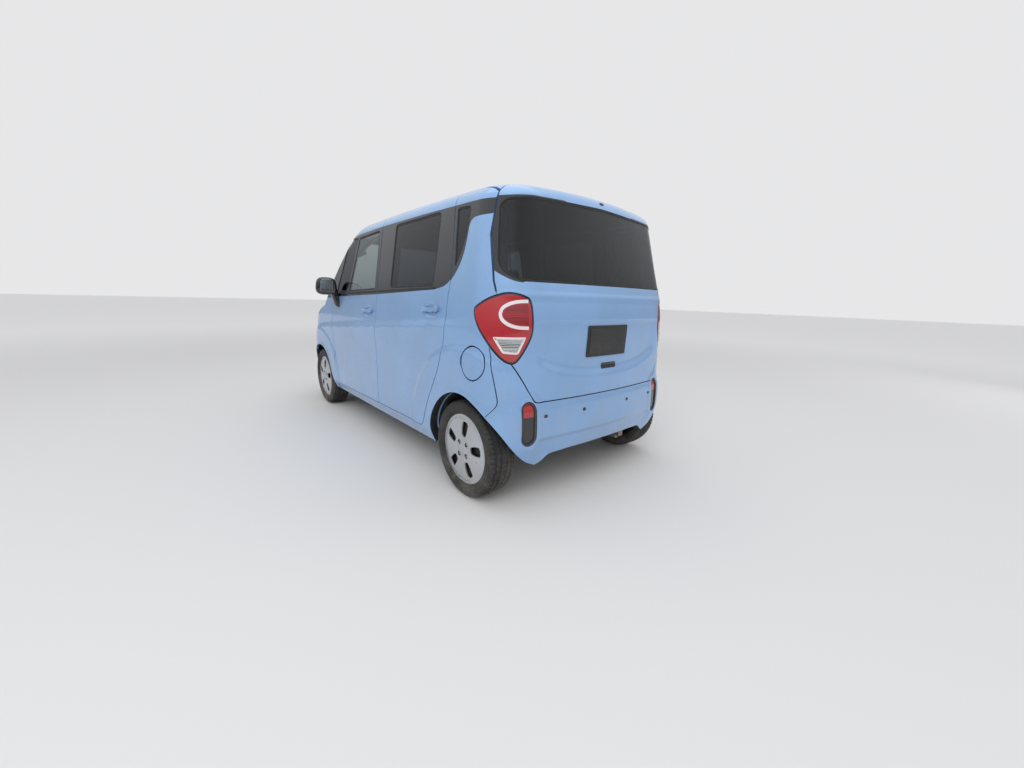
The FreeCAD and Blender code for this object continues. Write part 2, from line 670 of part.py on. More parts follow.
TYRE = [
    ("12", "rim_radius"), ("tyre_width - 15", "rim_radius"), ("tyre_width - 15", "cover_radius + 3"),
    ("tyre_width", "cover_radius + 33"), ("tyre_width - 7", "tyre_radius - 16"),
    ("tyre_width - 24", "tyre_radius - 2"), ("tyre_width - 34", "tyre_radius"), ("34", "tyre_radius"),
    ("24", "tyre_radius - 2"), ("7", "tyre_radius - 16"), ("0.5", "cover_radius + 33"),
    ("4", "rim_radius + 14"),
]
bore = "stub_radius + stub_clearance"
WHEEL = [
    ("tyre_width - 38", 0), ("tyre_width - 38", bore), ("86", bore), ("86", "hub_radius + 4"),
    ("tyre_width - 55", "hub_radius + 14"), ("tyre_width - 46", "rim_radius - 22"),
    ("14", "rim_radius - 12"), ("6", "rim_radius - 9"), ("6", "rim_radius - seat_gap"),
    ("tyre_width - 14.7", "rim_radius - seat_gap"), ("tyre_width - 14.7", "cover_radius"),
    ("tyre_width - 8", "cover_radius"), ("tyre_width - 4", "cover_radius - 16"),
    ("tyre_width - 12", "cover_radius - 85"), ("tyre_width - 17", "hub_radius - 6"),
    ("tyre_width - 16", "24"), ("tyre_width - 10", "20"), ("tyre_width - 9", 0),
]
SLOT = [
    (a, b) for a, b in (
        ("cover_radius * 0.54 * cos(54)", "cover_radius * 0.54 * sin(54)"),
        ("cover_radius * 0.70 * cos(57)", "cover_radius * 0.70 * sin(57)"),
        ("cover_radius * 0.80 * cos(53)", "cover_radius * 0.80 * sin(53)"),
        ("cover_radius * 0.80 * cos(37)", "cover_radius * 0.80 * sin(37)"),
        ("cover_radius * 0.70 * cos(33)", "cover_radius * 0.70 * sin(33)"),
        ("cover_radius * 0.54 * cos(36)", "cover_radius * 0.54 * sin(36)"),
    )
]
CORNERS = [("front", FRONT_AXLE), ("rear", REAR_AXLE)]
for end, axle in CORNERS:
    for side, sign in (("left", 1), ("right", -1)):
        tyre = revolved("tyre_%s_%s" % (end, side), TYRE)
        wheel = revolved("wheel_%s_%s" % (end, side), WHEEL)
        pierce(wheel, wheel.Label + "_slot", SLOT, None, "slot_count")
        pierce(wheel, wheel.Label + "_lug", None, ("lug_circle / 2 * cos(45)", "6.5"), "lug_count")
        for item in (tyre, wheel):
            if sign < 0:
                item.Placement = Placement(Vector(), Rotation(Vector(0, 0, 1), 180))
            bind(item, "Placement.Base.x", "(wheel_face - tyre_width) * %d" % sign)
            bind(item, "Placement.Base.y", axle)
            bind(item, "Placement.Base.z", "tyre_radius")
            keep(item)

# Knuckles with their struts, which lean in towards the top, and lower arms under them.
strut_rise = val("strut_top_height") - val("ball_height")
lean = math.degrees(math.atan2(val("ball_x") - val("strut_top_x"), strut_rise))
strut_turn = (0, -1, 0, lean)
slope = "((ball_x - strut_top_x) / (strut_top_height - ball_height))"


def strut_x(level):
    return "ball_x - %s * (%s - ball_height)" % (slope, level)


def knuckle(label):
    ball = solid("Sphere", ("ball_x", FRONT_AXLE, "ball_height"), None, Radius="ball_radius")
    stem = rod("ball_x", FRONT_AXLE, "ball_height", "strut_radius * 0.55", "60", strut_turn)
    rod_long = "(strut_top_height + 10 - spring_low) / %.6f" % math.cos(math.radians(lean))
    strut = rod(strut_x("spring_low"), FRONT_AXLE, "spring_low", "strut_radius * 0.55", rod_long, strut_turn)
    leg_long = "(spring_low + 20 - tyre_radius - 40) / %.6f" % math.cos(math.radians(lean))
    leg = rod(strut_x("(tyre_radius + 40)") + " - leg_set", FRONT_AXLE, "tyre_radius + 40", "strut_radius",
              leg_long, strut_turn)
    coil_long = "(spring_high - spring_low) / %.6f" % math.cos(math.radians(lean))
    coil = rod(strut_x("spring_low"), FRONT_AXLE, "spring_low", "spring_radius", coil_long, strut_turn)
    hub = rod("wheel_face - tyre_width - 14", FRONT_AXLE, "tyre_radius", "hub_radius", "98")
    stub = rod("wheel_face - tyre_width + 80", FRONT_AXLE, "tyre_radius", "stub_radius", "tyre_width - 122")
    carrier = brick("wheel_face - tyre_width - 22", FRONT_AXLE + " - 40", "ball_height + 20",
                    "26", "80", "tyre_radius - ball_height + 80")
    steer_arm = brick("wheel_face - tyre_width - 70", FRONT_AXLE + " + 20", "ball_height + 24",
                      "60", "90", "22")
    return joined(label, [ball, stem, strut, leg, coil, hub, stub, carrier, steer_arm])


keep(knuckle("knuckle_left"))
keep(mirrored(knuckle("knuckle_pattern"), "knuckle_right"))


def lower_arm():
    arm = brick("330", FRONT_AXLE + " - 35", "ball_height - 14", "ball_x + 22 - 330", "70", "28")
    cup = solid("Sphere", ("ball_x", FRONT_AXLE, "ball_height"), None, Radius="ball_radius + seat_gap")
    neck = rod("ball_x", FRONT_AXLE, "ball_height", "strut_radius + 4", "40", (0, 0, 1, 0))
    return less(arm, [cup, neck])


cross = brick("-360", FRONT_AXLE + " - 90", "ball_height - 30", "720", "200", "70")
rack = rod("-330", FRONT_AXLE + " + 140", "ball_height + 36", "24", "660")
rack_foot = brick("-200", FRONT_AXLE + " + 108", "ball_height + 10", "400", "45", "30")
keep(joined("front_subframe", [cross, rack, rack_foot, lower_arm(), mirrored(lower_arm())]))

# Rear twist-beam axle with stub pins, and the springs and dampers over it.
beam = rod("-(wheel_face - tyre_width - 60)", REAR_AXLE + " - 170", "tyre_radius - 8", "38",
           "2 * (wheel_face - tyre_width - 60)")


def trailing_arm():
    arm = brick("wheel_face - tyre_width - 110", REAR_AXLE + " - 420", "tyre_radius - 40", "50", "480", "60")
    hub = rod("wheel_face - tyre_width - 80", REAR_AXLE, "tyre_radius", "hub_radius", "160")
    stub = rod("wheel_face - tyre_width + 70", REAR_AXLE, "tyre_radius", "stub_radius", "tyre_width - 112")
    bush = rod("wheel_face - tyre_width - 120", REAR_AXLE + " - 420", "tyre_radius - 10", "36", "70")
    seat = brick("290", REAR_AXLE + " - 120", "tyre_radius - 40", "wheel_face - tyre_width - 110 - 280",
                 "250", "16")
    return joined("arm_%d" % count[0], [arm, hub, stub, bush, seat])


axle = joined("twist_beam", [beam, trailing_arm(), mirrored(trailing_arm())])


def spring_pair():
    coil = rod("346", REAR_AXLE + " - 60", "tyre_radius - 24 + seat_gap", "spring_radius",
               "boot_floor - 40 - tyre_radius + 24 - 2 * seat_gap", (0, 0, 1, 0))
    damper = rod("346", REAR_AXLE + " + 90", "tyre_radius - 24 + seat_gap", "26",
                 "boot_floor - 40 - tyre_radius + 24 - 2 * seat_gap", (0, 0, 1, 0))
    return [coil, damper]


pair = spring_pair() + [mirrored(item) for item in spring_pair()]
keep(set_of("rear_axle", [axle] + pair))

# Engine and gearbox as one plain block, tank and exhaust under the floor.
keep(brick("-350", FRONT_AXLE + " - 330", "ball_height + 40 + seat_gap", "630", "430", "500"))
nodes[-1].Label = "engine"
tank = brick("-330", REAR_AXLE + " - 1050", "floor_height - 90", "660", "420", "90 - seat_gap")
tank.Label = "fuel_tank"
keep(tank)
muffler = brick("-60", "body_length / 2 - 270", "300", "480", "170", "130")
pipe = rod("-360", REAR_AXLE + " - 520", "200", "24",
           "body_length / 2 - 160 - %s + 520" % REAR_AXLE, (1, 0, 0, -90))
tail_pipe = rod("330", "body_length / 2 - 130", "330", "22", "50", (1, 0, 0, -90))
lead = brick("-384", "body_length / 2 - 190", "200", "48", "60", "150")
side_lead = brick("-384", "body_length / 2 - 190", "310", "360", "50", "40")
front_pipe = rod("-360", FRONT_AXLE + " + 130", "200", "24", "wheelbase - 650 + 26", (1, 0, 0, -90))
hangers = [rod(x, "body_length / 2 - 230", "420", "8", "boot_floor - 40 - 420 - seat_gap", (0, 0, 1, 0))
           for x in ("0", "360")]
keep(joined("exhaust", [muffler, pipe, tail_pipe, lead, side_lead, front_pipe] + hangers))


# Floor, fire wall, wheel houses, strut towers, rails and crash beams as one welded piece.
floor_z, floor_top = val("floor_height"), val("floor_height") + val("floor_thick")
boot_low, boot_top = val("boot_floor") - 40, val("boot_floor") - 16
kick = rear_axle - 480
wall_y = front_y - 22
house_wall = val("house_wall")


def strut_hole(radius, low, high):
    ball = Vector(val("ball_x"), front_axle, val("ball_height"))
    top = Vector(val("strut_top_x"), front_axle, val("strut_top_height"))
    way = (top - ball).normalize()
    return Part.makeCylinder(radius, (high - low) / way.z, ball + way * ((low - ball.z) / way.z), way)


def wheel_house(y, low):
    shell = tube_x(arch + house_wall, house_inner - house_wall, half, y, axle_z)
    shell = shell.cut(tube_x(arch, house_inner, half + 1, y, axle_z))
    return shell.common(block(0, half, y - 500, y + 500, low, 900))


tower_half, tower_low, tower_top = 92, 600, val("strut_top_height")
tower = block(house_inner - house_wall, 640, front_axle - tower_half, front_axle + tower_half,
              tower_low, tower_top)
tower = tower.cut(block(house_inner, 628, front_axle - 80, front_axle + 80, tower_low - 5, tower_top - 12))
front_house = wheel_house(front_axle, 300).fuse(tower)
front_house = front_house.cut(strut_hole(val("spring_radius") + 14, 500, tower_top - 12))
front_house = front_house.cut(strut_hole(val("strut_radius") * 0.55 + fit, 700, tower_top + 5))
rear_house = wheel_house(rear_axle, 345)
front_rail = block(390, house_inner - house_wall + 2, nose + 110, wall_y + 5, 430, 520)
rear_rail = block(405, house_inner - house_wall + 2, kick, tail - 110, 440, boot_low + 5)
centre = [
    block(-half, half, wall_y, kick + 24, floor_z, floor_top),
    block(-half, half, kick, kick + 24, floor_z, boot_top),
    block(-half, half, kick, tail, boot_low, boot_top),
    block(-half, half, tail - 126, tail - 101, boot_low, gate_low + 12),
    block(-half, half, wall_y, wall_y + 24, floor_z, cowl_z - 60),
    block(-half, half, hood_back + 30, wall_y + 24, cowl_z - 130, cowl_z - 112),
]
shell = centre[0].multiFuse(centre[1:] + [s for p in (front_house, rear_house, front_rail, rear_rail)
                                          for s in (p, mirror(p))])
shell = shell.cut([tube_x(arch, house_inner, half + 1, rear_axle, axle_z),
                   mirror(tube_x(arch, house_inner, half + 1, rear_axle, axle_z))])
beam_low, beam_high, beam_half = 440, 520, 520
tow_radius = val("tow_radius")
beams = block(-beam_half, beam_half, nose, nose + 178, beam_low - 10, beam_high).fuse(
    block(-beam_half, beam_half, tail - 140, tail, beam_low, beam_high))
beams = beams.common(body_solid(bumper_depth + fit))
support = block(-grille_half, grille_half, nose + 135, nose + 178, beam_low, hood_z + 150)
beams = beams.fuse(support.common(body_solid(hood_thick + fit)).cut(upper_room))
shell = shell.common(body_solid(frame_depth + fit)).fuse(beams).removeSplitter()
tow_end = nose + bumper_depth + 27 + val("tow_length")
shell = shell.cut(Part.makeCylinder(tow_radius, tow_end - nose, Vector(tow_x, nose, tow_z), Vector(0, 1, 0)))
feature("underbody", shell)

# Dashboard across the cabin, with the steering column on the left.
dash_half = 640
DASH = [
    (wall_y + 24 + fit, cowl_z - 90), (wall_y + 160, cowl_z - 50), (wall_y + 300, cowl_z - 80),
    (wall_y + 318, cowl_z - 190), (wall_y + 262, cowl_z - 350), (wall_y + 190, cowl_z - 500),
    (wall_y + 24 + fit, cowl_z - 500),
]
steer_lean = math.radians(val("column_lean"))
steer_way = Vector(0, math.cos(steer_lean), math.sin(steer_lean))
steer_centre = Vector(val("driver_x"), along("driver_set"), val("steering_height"))
column = Part.makeCylinder(24, 240, steer_centre - steer_way * 270, steer_way)
dash = side_prism(DASH, -dash_half, dash_half).fuse(column)
feature("dashboard", dash)

# Steering wheel, made flat about its own axis and then leaned.
ring = solid("Torus", ("0", "0", "0"), None,
             Radius1="wheel_rim_radius - wheel_rim_thick", Radius2="wheel_rim_thick")
boss = rod("0", "0", "-30 + seat_gap", "58", "46", (0, 0, 1, 0))
ring_radius = "(wheel_rim_radius - wheel_rim_thick)"
spokes = [brick("-" + ring_radius, "-16", "-7", "2 * " + ring_radius, "32", "14"),
          brick("-18", "-" + ring_radius, "-7", "36", ring_radius, "14")]
steering = joined("steering_wheel", [ring, boss] + spokes)
steering.Placement = Placement(Vector(), Rotation(Vector(1, 0, 0), val("column_lean") - 90))
bind(steering, "Placement.Base.x", "driver_x")
bind(steering, "Placement.Base.y", "-body_length / 2 + driver_set")
bind(steering, "Placement.Base.z", "steering_height")
keep(steering)

# Seats: a foot on the floor, cushion, leaned back and head rest.
SEAT_FRONT = "-body_length / 2 + seat_front"
BENCH_FRONT = "-body_length / 2 + bench_front"
LEAN = (1, 0, 0, -val("back_lean"))


def seat(x, wide, front, long, back_level):
    foot = brick(x + " + 40", front + " + 40", "floor_height + floor_thick + seat_gap", wide + " - 80",
                 long + " - 80", "seat_height - seat_thick - floor_height - floor_thick - seat_gap")
    cushion = brick(x, front, "seat_height - seat_thick", wide, long, "seat_thick")
    back = brick(x, front + " + " + long + " - 20", back_level, wide, "back_thick", "back_height", LEAN)
    return [foot, cushion, back]


def head_rest(x, front, long, back_level):
    turned = math.radians(val("back_lean"))
    y = "%s + %s - 10 + back_height * %.6f" % (front, long, math.sin(turned))
    z = "%s + back_height * %.6f" % (back_level, math.cos(turned))
    return brick(x, y, z + " - 8", "head_width", "head_thick", "head_height", LEAN)


def front_seat():
    x = "driver_x - seat_width / 2"
    level = "seat_height - seat_thick * 0.6"
    parts = seat(x, "seat_width", SEAT_FRONT, "seat_length", level)
    parts.append(head_rest("driver_x - head_width / 2", SEAT_FRONT, "seat_length", level))
    return joined("seat_%d" % count[0], parts)


keep(set_of("front_seats", [front_seat(), mirrored(front_seat())]))
bench_back = "boot_floor - 16 + back_thick * %.6f + seat_gap" % math.sin(math.radians(val("back_lean")))
bench = seat("-bench_width / 2", "bench_width", BENCH_FRONT, "bench_length", bench_back)
bench += [head_rest("%s * bench_width / 4 - head_width / 2" % side, BENCH_FRONT, "bench_length", bench_back)
          for side in (-1, 1)]
bench.append(brick("-bench_width / 2 + 60", BENCH_FRONT + " + bench_length - 40", "seat_height - seat_thick",
                   "bench_width - 120", "52", "seat_thick + 45"))
keep(joined("rear_seat", bench))

doc.recompute()
for item in doc.Objects:
    if "Invalid" in item.State or "Error" in item.State:
        raise RuntimeError("%s failed: %s" % (item.Name, item.State))
for item in nodes:
    if item.Shape.isNull() or not item.Shape.isValid():
        raise RuntimeError("%s has no valid shape" % item.Label)
os.makedirs("parts", exist_ok=True)
for item in nodes:
    item.Shape.exportStep("parts/%s.step" % item.Label)
print("%d nodes written" % len(nodes))
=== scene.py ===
# %% [markdown]
# # A tall kei car, dressed in Blender
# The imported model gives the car's working pieces and their places. This script keeps those
# that already look right, such as the axles, and lays finer meshes over the rest: pressed
# body panels, glass, lamps, tyres, seats and trim. Everything is in metres. +X is the car's
# left, the car faces -Y, and the ground is at z = 0.

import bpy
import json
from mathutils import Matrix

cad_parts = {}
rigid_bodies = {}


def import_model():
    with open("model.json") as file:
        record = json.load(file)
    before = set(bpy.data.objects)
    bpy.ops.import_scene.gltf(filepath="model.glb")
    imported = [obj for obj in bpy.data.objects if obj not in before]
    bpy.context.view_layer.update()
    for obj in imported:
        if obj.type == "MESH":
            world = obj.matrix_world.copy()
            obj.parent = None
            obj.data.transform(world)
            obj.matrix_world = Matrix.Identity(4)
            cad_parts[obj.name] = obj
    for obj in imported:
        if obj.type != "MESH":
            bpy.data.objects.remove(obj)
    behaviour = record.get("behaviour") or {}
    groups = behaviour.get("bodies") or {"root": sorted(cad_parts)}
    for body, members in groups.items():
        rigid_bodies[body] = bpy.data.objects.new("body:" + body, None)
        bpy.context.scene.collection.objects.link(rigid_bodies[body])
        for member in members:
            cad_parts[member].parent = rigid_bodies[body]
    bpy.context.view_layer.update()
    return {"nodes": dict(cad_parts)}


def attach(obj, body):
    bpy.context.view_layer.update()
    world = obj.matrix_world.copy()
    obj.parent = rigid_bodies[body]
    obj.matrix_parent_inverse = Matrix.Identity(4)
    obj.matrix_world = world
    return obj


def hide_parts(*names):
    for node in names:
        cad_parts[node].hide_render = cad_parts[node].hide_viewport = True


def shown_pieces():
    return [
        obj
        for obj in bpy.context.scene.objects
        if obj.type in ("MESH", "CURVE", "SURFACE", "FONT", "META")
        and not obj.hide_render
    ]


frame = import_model()

# %% Tools
import json
import math

import bmesh
import bpy
import numpy as np
from mathutils import Euler, Matrix, Vector, geometry

print("tools ready")

# %% [markdown]
# ## The form
# A car body is one smooth form that is cut into panels. Here that form is a function: given
# a point, it says how far the point lies outside the skin. Side walls, ends and roof are
# three simple surfaces, and a rounded join blends each edge. Panels that are laid on the
# same function always meet flush, which separate hand-made shells would not.

# %% Driving sizes
NOSE, TAIL = -1.7975, 1.7975
HALF = 0.7975
HEIGHT = 1.7
FRONT_AXLE, REAR_AXLE = -1.1175, 1.4025
AXLE_Z = 0.278
ARCH_RADIUS = 0.325
GAP = 0.0045
BELT = 1.15
print("wheelbase", round(REAR_AXLE - FRONT_AXLE, 3))

# %% Plan sections, columns: height, side inset, rear inset, front inset, rear and front corner
SECTIONS = np.array([
    (0.19, 0.052, 0.055, 0.095, 0.2, 0.33), (0.33, 0.012, 0.012, 0.022, 0.185, 0.34),
    (0.5, 0.0, 0.006, 0.0, 0.175, 0.35), (0.62, 0.0, 0.02, 0.006, 0.18, 0.35),
    (0.8, 0.001, 0.025, 0.045, 0.19, 0.36), (1.0, 0.012, 0.022, 0.13, 0.2, 0.38),
    (1.15, 0.029, 0.042, 0.28, 0.2, 0.38), (1.35, 0.062, 0.085, 0.43, 0.2, 0.36),
    (1.56, 0.097, 0.133, 0.58, 0.19, 0.34), (1.76, 0.131, 0.178, 0.72, 0.18, 0.33),
])
END_BOW, NOSE_BOW, SIDE_BOW, BOW_Y = 4.2, 1.7, 150.0, 0.3


def smooth_table(x, table):
    """Each further column of a table at x, with the slope kept even from row to row."""
    levels, values = table[:, 0], table[:, 1:]
    x = np.clip(x, levels[0], levels[-1])
    i = np.clip(np.searchsorted(levels, x, side="right") - 1, 0, len(levels) - 2)
    slopes = np.gradient(values, levels, axis=0)
    h = (levels[i + 1] - levels[i])[:, None]
    t = (x - levels[i])[:, None] / h
    a, b, ma, mb = values[i], values[i + 1], slopes[i] * h, slopes[i + 1] * h
    start, end = (2 * t**3 - 3 * t**2 + 1) * a, (3 * t**2 - 2 * t**3) * b
    return start + (t**3 - 2 * t**2 + t) * ma + end + (t**3 - t**2) * mb


def lengths(vectors):
    return np.linalg.norm(vectors, axis=1)


def round_join(a, b, radius):
    """Distance to the common part of two forms whose shared edge is rounded."""
    u, v = np.maximum(a + radius, 0), np.maximum(b + radius, 0)
    return np.minimum(np.maximum(a + radius, b + radius), 0) + np.hypot(u, v) - radius


def walls(p):
    side, rear, front, rear_corner, front_corner = smooth_table(p[:, 2], SECTIONS).T
    x, y = np.abs(p[:, 0]), p[:, 1]
    to_side = np.hypot(x - (HALF - side - SIDE_BOW), y - BOW_Y) - SIDE_BOW
    to_rear = np.hypot(x, y - (TAIL - rear - END_BOW)) - END_BOW
    to_front = np.hypot(x, y - (NOSE + front + NOSE_BOW)) - NOSE_BOW
    back = round_join(to_side, to_rear, rear_corner)
    return np.where(y > 0, back, round_join(to_side, to_front, front_corner))


print("sections:", len(SECTIONS))


# %% Side profile of hood, windscreen and roof
def arc_points(a, m, b, count=24):
    """Points on the arc from a through m to b."""
    (ax, ay), (mx, my), (bx, by) = a, m, b
    d = 2 * (ax * (my - by) + mx * (by - ay) + bx * (ay - my))
    ux = ((ax**2 + ay**2) * (my - by) + (mx**2 + my**2) * (by - ay) + (bx**2 + by**2) * (ay - my)) / d
    uy = ((ax**2 + ay**2) * (bx - mx) + (mx**2 + my**2) * (ax - bx) + (bx**2 + by**2) * (mx - ax)) / d
    r = math.hypot(ax - ux, ay - uy)
    start, end = math.atan2(ay - uy, ax - ux), math.atan2(by - uy, bx - ux)
    mid = math.atan2(my - uy, mx - ux)
    turn = (end - start) % (2 * math.pi)
    if (mid - start) % (2 * math.pi) > turn:
        turn -= 2 * math.pi
    return [(ux + r * math.cos(start + turn * i / count), uy + r * math.sin(start + turn * i / count))
        for i in range(count + 1)]


COWL = (NOSE + 0.667, 1.045)
HEADER = (NOSE + 1.297, HEIGHT - 0.1)
LIP = (NOSE + 0.008, 0.77)
HOOD_MID = ((NOSE + COWL[0]) / 2 - 0.015, (LIP[1] + COWL[1]) / 2 + 0.042)
SCREEN_MID = ((COWL[0] + HEADER[0]) / 2 - 0.015, (COWL[1] + HEADER[1]) / 2 + 0.018)
BROW = (HEADER[0] + 0.108, HEADER[1] + 0.047)
ROOF_FRONT = (HEADER[0] + 0.3, HEIGHT - 0.022)
ROOF_MID, ROOF_REAR = (HEADER[0] + 1.4, HEIGHT), (TAIL + 0.25, HEIGHT - 0.028)
PROFILE = np.array(
    [(NOSE - 0.25, LIP[1] - 0.09)] + arc_points(LIP, HOOD_MID, COWL)
    + arc_points(COWL, SCREEN_MID, HEADER)[1:] + arc_points(HEADER, BROW, ROOF_FRONT)[1:]
    + arc_points(ROOF_FRONT, ROOF_MID, ROOF_REAR)[1:])
GLASS_CROWN, ROOF_CROWN = 0.16, 0.045
# Columns: y, radius of the edge between the top and the side walls.
EDGE_RADII = np.array([(-1.8, 0.05), (-1.3, 0.06), (-1.15, 0.045), (-0.9, 0.03), (-0.6, 0.036),
    (-0.3, 0.06), (0.0, 0.07), (1.9, 0.07)])


def top_height(x, y):
    share = (x / 0.8) ** 2
    return np.interp(y - GLASS_CROWN * share, PROFILE[:, 0], PROFILE[:, 1]) - ROOF_CROWN * share


def lid(p):
    x, y, z = p.T
    step = 0.004
    slope = (top_height(x, y + step) - top_height(x, y - step)) / (2 * step)
    return (z - top_height(x, y)) / np.sqrt(1 + slope**2)


print("profile points:", len(PROFILE))

# %% [markdown]
# ### Pressed features
# Flares round the wheels, the shoulder line, the hollow in the tailgate and the step of the
# bumper are small pushes of the same skin, in or out along its normal. Each is a smooth mask
# times a height, so a feature can run across a seam, as it does on pressed steel.

# %% Feature masks
def ease(x, low, high):
    """0 below low, 1 above high, smooth between. Works with low above high too."""
    t = np.clip((x - low) / (high - low), 0, 1)
    return t * t * (3 - 2 * t)


def bump(x, centre, width):
    """A smooth hump of height 1 that ends at centre plus or minus width."""
    return 1 - ease(np.abs(x - centre), 0, width)


def pressed(p):
    """How far the skin is pushed out at each point, in metres."""
    x, y, z = np.abs(p[:, 0]), p[:, 1], p[:, 2]
    out = np.zeros(len(p))
    side = ease(x, 0.62, 0.72) * ease(y, 1.78, 1.6) * ease(y, -1.75, -1.55)
    # Flares: a soft lip at each arch and a broad shoulder over it.
    for axle, reach in ((FRONT_AXLE, 0.51), (REAR_AXLE, 0.59)):
        radius = np.hypot(y - axle, z - AXLE_Z)
        out += side * 0.009 * ease(radius, reach, reach - 0.04) * ease(z, 0.2, 0.32)
        out += side * 0.006 * bump(radius, ARCH_RADIUS + 0.004, 0.035)
    # Shoulder: a crisp line along the doors that climbs to the rear, over a flatter cheek.
    doors = ease(y, -1.35, -0.85) * ease(y, 1.55, 1.2)
    over = z - (0.861 + 0.0735 * y)
    crest = np.clip(1 - np.where(over > 0, over / 0.04, -over / 0.15), 0, 1)
    out += side * doors * (0.009 * crest - 0.006 * bump(z, 0.56, 0.24))
    # Sill: the skin turns out again above the bottom edge.
    out += side * ease(y, -0.8, -0.7) * ease(y, 1.08, 0.98) * 0.007 * bump(z, 0.3, 0.055)
    # A shallow dish behind each door handle.
    for middle, height, reach in ((0.135, 0.984, 0.09), (1.075, 1.031, 0.085)):
        dish = np.hypot((y - middle) / reach, (z - height) / 0.042)
        out -= side * 0.012 * ease(dish, 1.0, 0.45)
    # Tailgate: a ledge over a hollow that is wide at the top and round below.
    rear = ease(y, 1.55, 1.66)
    ledge = 0.998
    across = np.clip(x / 0.555, 0, 1)
    foot = 0.7 + 0.1 * across**3
    hollow = ease(z, ledge + 0.004, ledge - 0.014) * ease(z, foot - 0.02, foot + 0.05) * ease(x, 0.6, 0.47)
    out -= rear * 0.015 * hollow
    out += rear * 0.004 * bump(z, 1.13, 0.03) * ease(x, 0.74, 0.66)
    # Rear bumper: a shelf, a crease with the skirt set back below it, and rings round the lamps.
    shelf = ease(z, 0.585, 0.545) * ease(z, 0.2, 0.3)
    out += rear * 0.004 * shelf
    out -= rear * 0.012 * ease(z, 0.392, 0.372) * ease(z, 0.24, 0.3) * ease(x, 0.58, 0.48)
    lamp_ring = np.hypot((x - 0.597) / 0.075, np.maximum(np.abs(z - 0.481) - 0.071, 0) / 0.075)
    out += rear * 0.005 * bump(lamp_ring, 0.95, 0.45)
    # Front bumper: a chin and the brow over the lower grille.
    front = ease(y, -1.45, -1.62)
    out += front * (0.008 * bump(z, 0.545, 0.06) + 0.006 * bump(z, 0.3, 0.05) - 0.0085)
    # Hood: two long ribs.
    hood = ease(y, -1.72, -1.6) * ease(y, -1.13, -1.22) * ease(z, 0.8, 0.84)
    out += hood * 0.006 * bump(x, 0.4, 0.07)
    return out


def skin(p):
    """Distance of each point outside the body, negative inside."""
    edge = np.interp(p[:, 1], EDGE_RADII[:, 0], EDGE_RADII[:, 1])
    return round_join(walls(p), lid(p), edge) - pressed(p)


def normals(p):
    step = 0.0015
    grad = [skin(p + d) - skin(p - d) for d in np.eye(3) * step]
    grad = np.stack(grad, axis=1)
    return grad / lengths(grad)[:, None]


def hit(start, way, reach):
    """Where rays that start inside the body leave it."""
    low, high = np.zeros(len(start)), np.full(len(start), reach)
    for _ in range(26):
        mid = (low + high) / 2
        inside = skin(start + way * mid[:, None]) < 0
        low, high = np.where(inside, mid, low), np.where(inside, high, mid)
    return start + way * low[:, None]


check = hit(np.array([[0.0, 0.3, 0.9]]), np.array([[1.0, 0, 0]]), 1.0)
print("half width at the doors:", round(float(check[0, 0]), 4))

# %% [markdown]
# ### A chart of the skin
# Panels are drawn flat and then laid on the form. The chart unrolls the walls: t runs from
# the middle of the rear round the left corner and side to the middle of the front, and v
# runs up and then over the roof's edge. Rays from inside the car carry a chart point to the
# skin, which keeps round corners evenly meshed where a side projection would stretch.

# %% The chart
XC, YR, YF = 0.56, 1.5, -1.36
REAR_ROUND, FRONT_ROUND, EDGE_ROUND = 0.22, 0.36, 0.12
T_CORNER = XC + REAR_ROUND * math.pi / 2
T_SIDE = T_CORNER + YR
T_FRONT = T_SIDE - YF
T_NOSE = T_FRONT + FRONT_ROUND * math.pi / 2
T_MAX = T_NOSE + XC
LEVELS = np.array([
    (-1.9, 0.66), (-1.36, 0.8), (-1.0, 0.93), (-0.5, 1.36), (-0.25, 1.52), (0.0, 1.56), (1.9, 1.56)])


def around(t):
    """Start and direction, in plan, of the ray for each t."""
    t = np.clip(t, 0, T_MAX)
    turn = np.clip((t - XC) / REAR_ROUND, 0, math.pi / 2)
    turn = turn + np.clip((t - T_FRONT) / FRONT_ROUND, 0, math.pi / 2)
    x = np.where(t < XC, t, np.where(t > T_NOSE, T_MAX - t, XC))
    y = np.clip(T_SIDE - t, YF, YR)
    return np.stack([x, y], 1), np.stack([np.sin(turn), np.cos(turn)], 1)


def level(y):
    return np.interp(y, LEVELS[:, 0], LEVELS[:, 1])


def lay(t, v):
    """Points and outward normals on the left half of the skin."""
    base, way = around(t)
    z = level(base[:, 1])
    rise = np.clip((v - z) / EDGE_ROUND, 0, 1.5)
    start = np.column_stack([base, np.minimum(v, z)])
    ray = np.column_stack([way * np.cos(rise)[:, None], np.sin(rise)])
    points = hit(start, ray, 0.75)
    return points, normals(points)


def chart_of(points):
    """Chart place of points on the left half."""
    x, y, z = points[:, 0], points[:, 1], points[:, 2]
    back = np.arctan2(np.maximum(x - XC, 0), np.maximum(y - YR, 1e-9))
    ahead = np.arctan2(np.maximum(YF - y, 0), np.maximum(x - XC, 1e-9))
    t = np.where(y > YR, np.where(x < XC, x, XC + REAR_ROUND * back), T_SIDE - y)
    t = np.where(y < YF, np.where(x < XC, T_MAX - x, T_FRONT + FRONT_ROUND * ahead), t)
    base, way = around(t)
    run = np.hypot(x - base[:, 0], y - base[:, 1])
    z0 = level(base[:, 1])
    v = np.where(z <= z0, z, z0 + EDGE_ROUND * np.arctan2(z - z0, run))
    return np.column_stack([t, v])


def from_side(line):
    """Chart line of points seen from the side, columns y, z."""
    a = np.array(line, float)
    start = np.column_stack([np.full(len(a), 0.2), a])
    return chart_of(hit(start, np.tile([1.0, 0, 0], (len(a), 1)), 0.9))


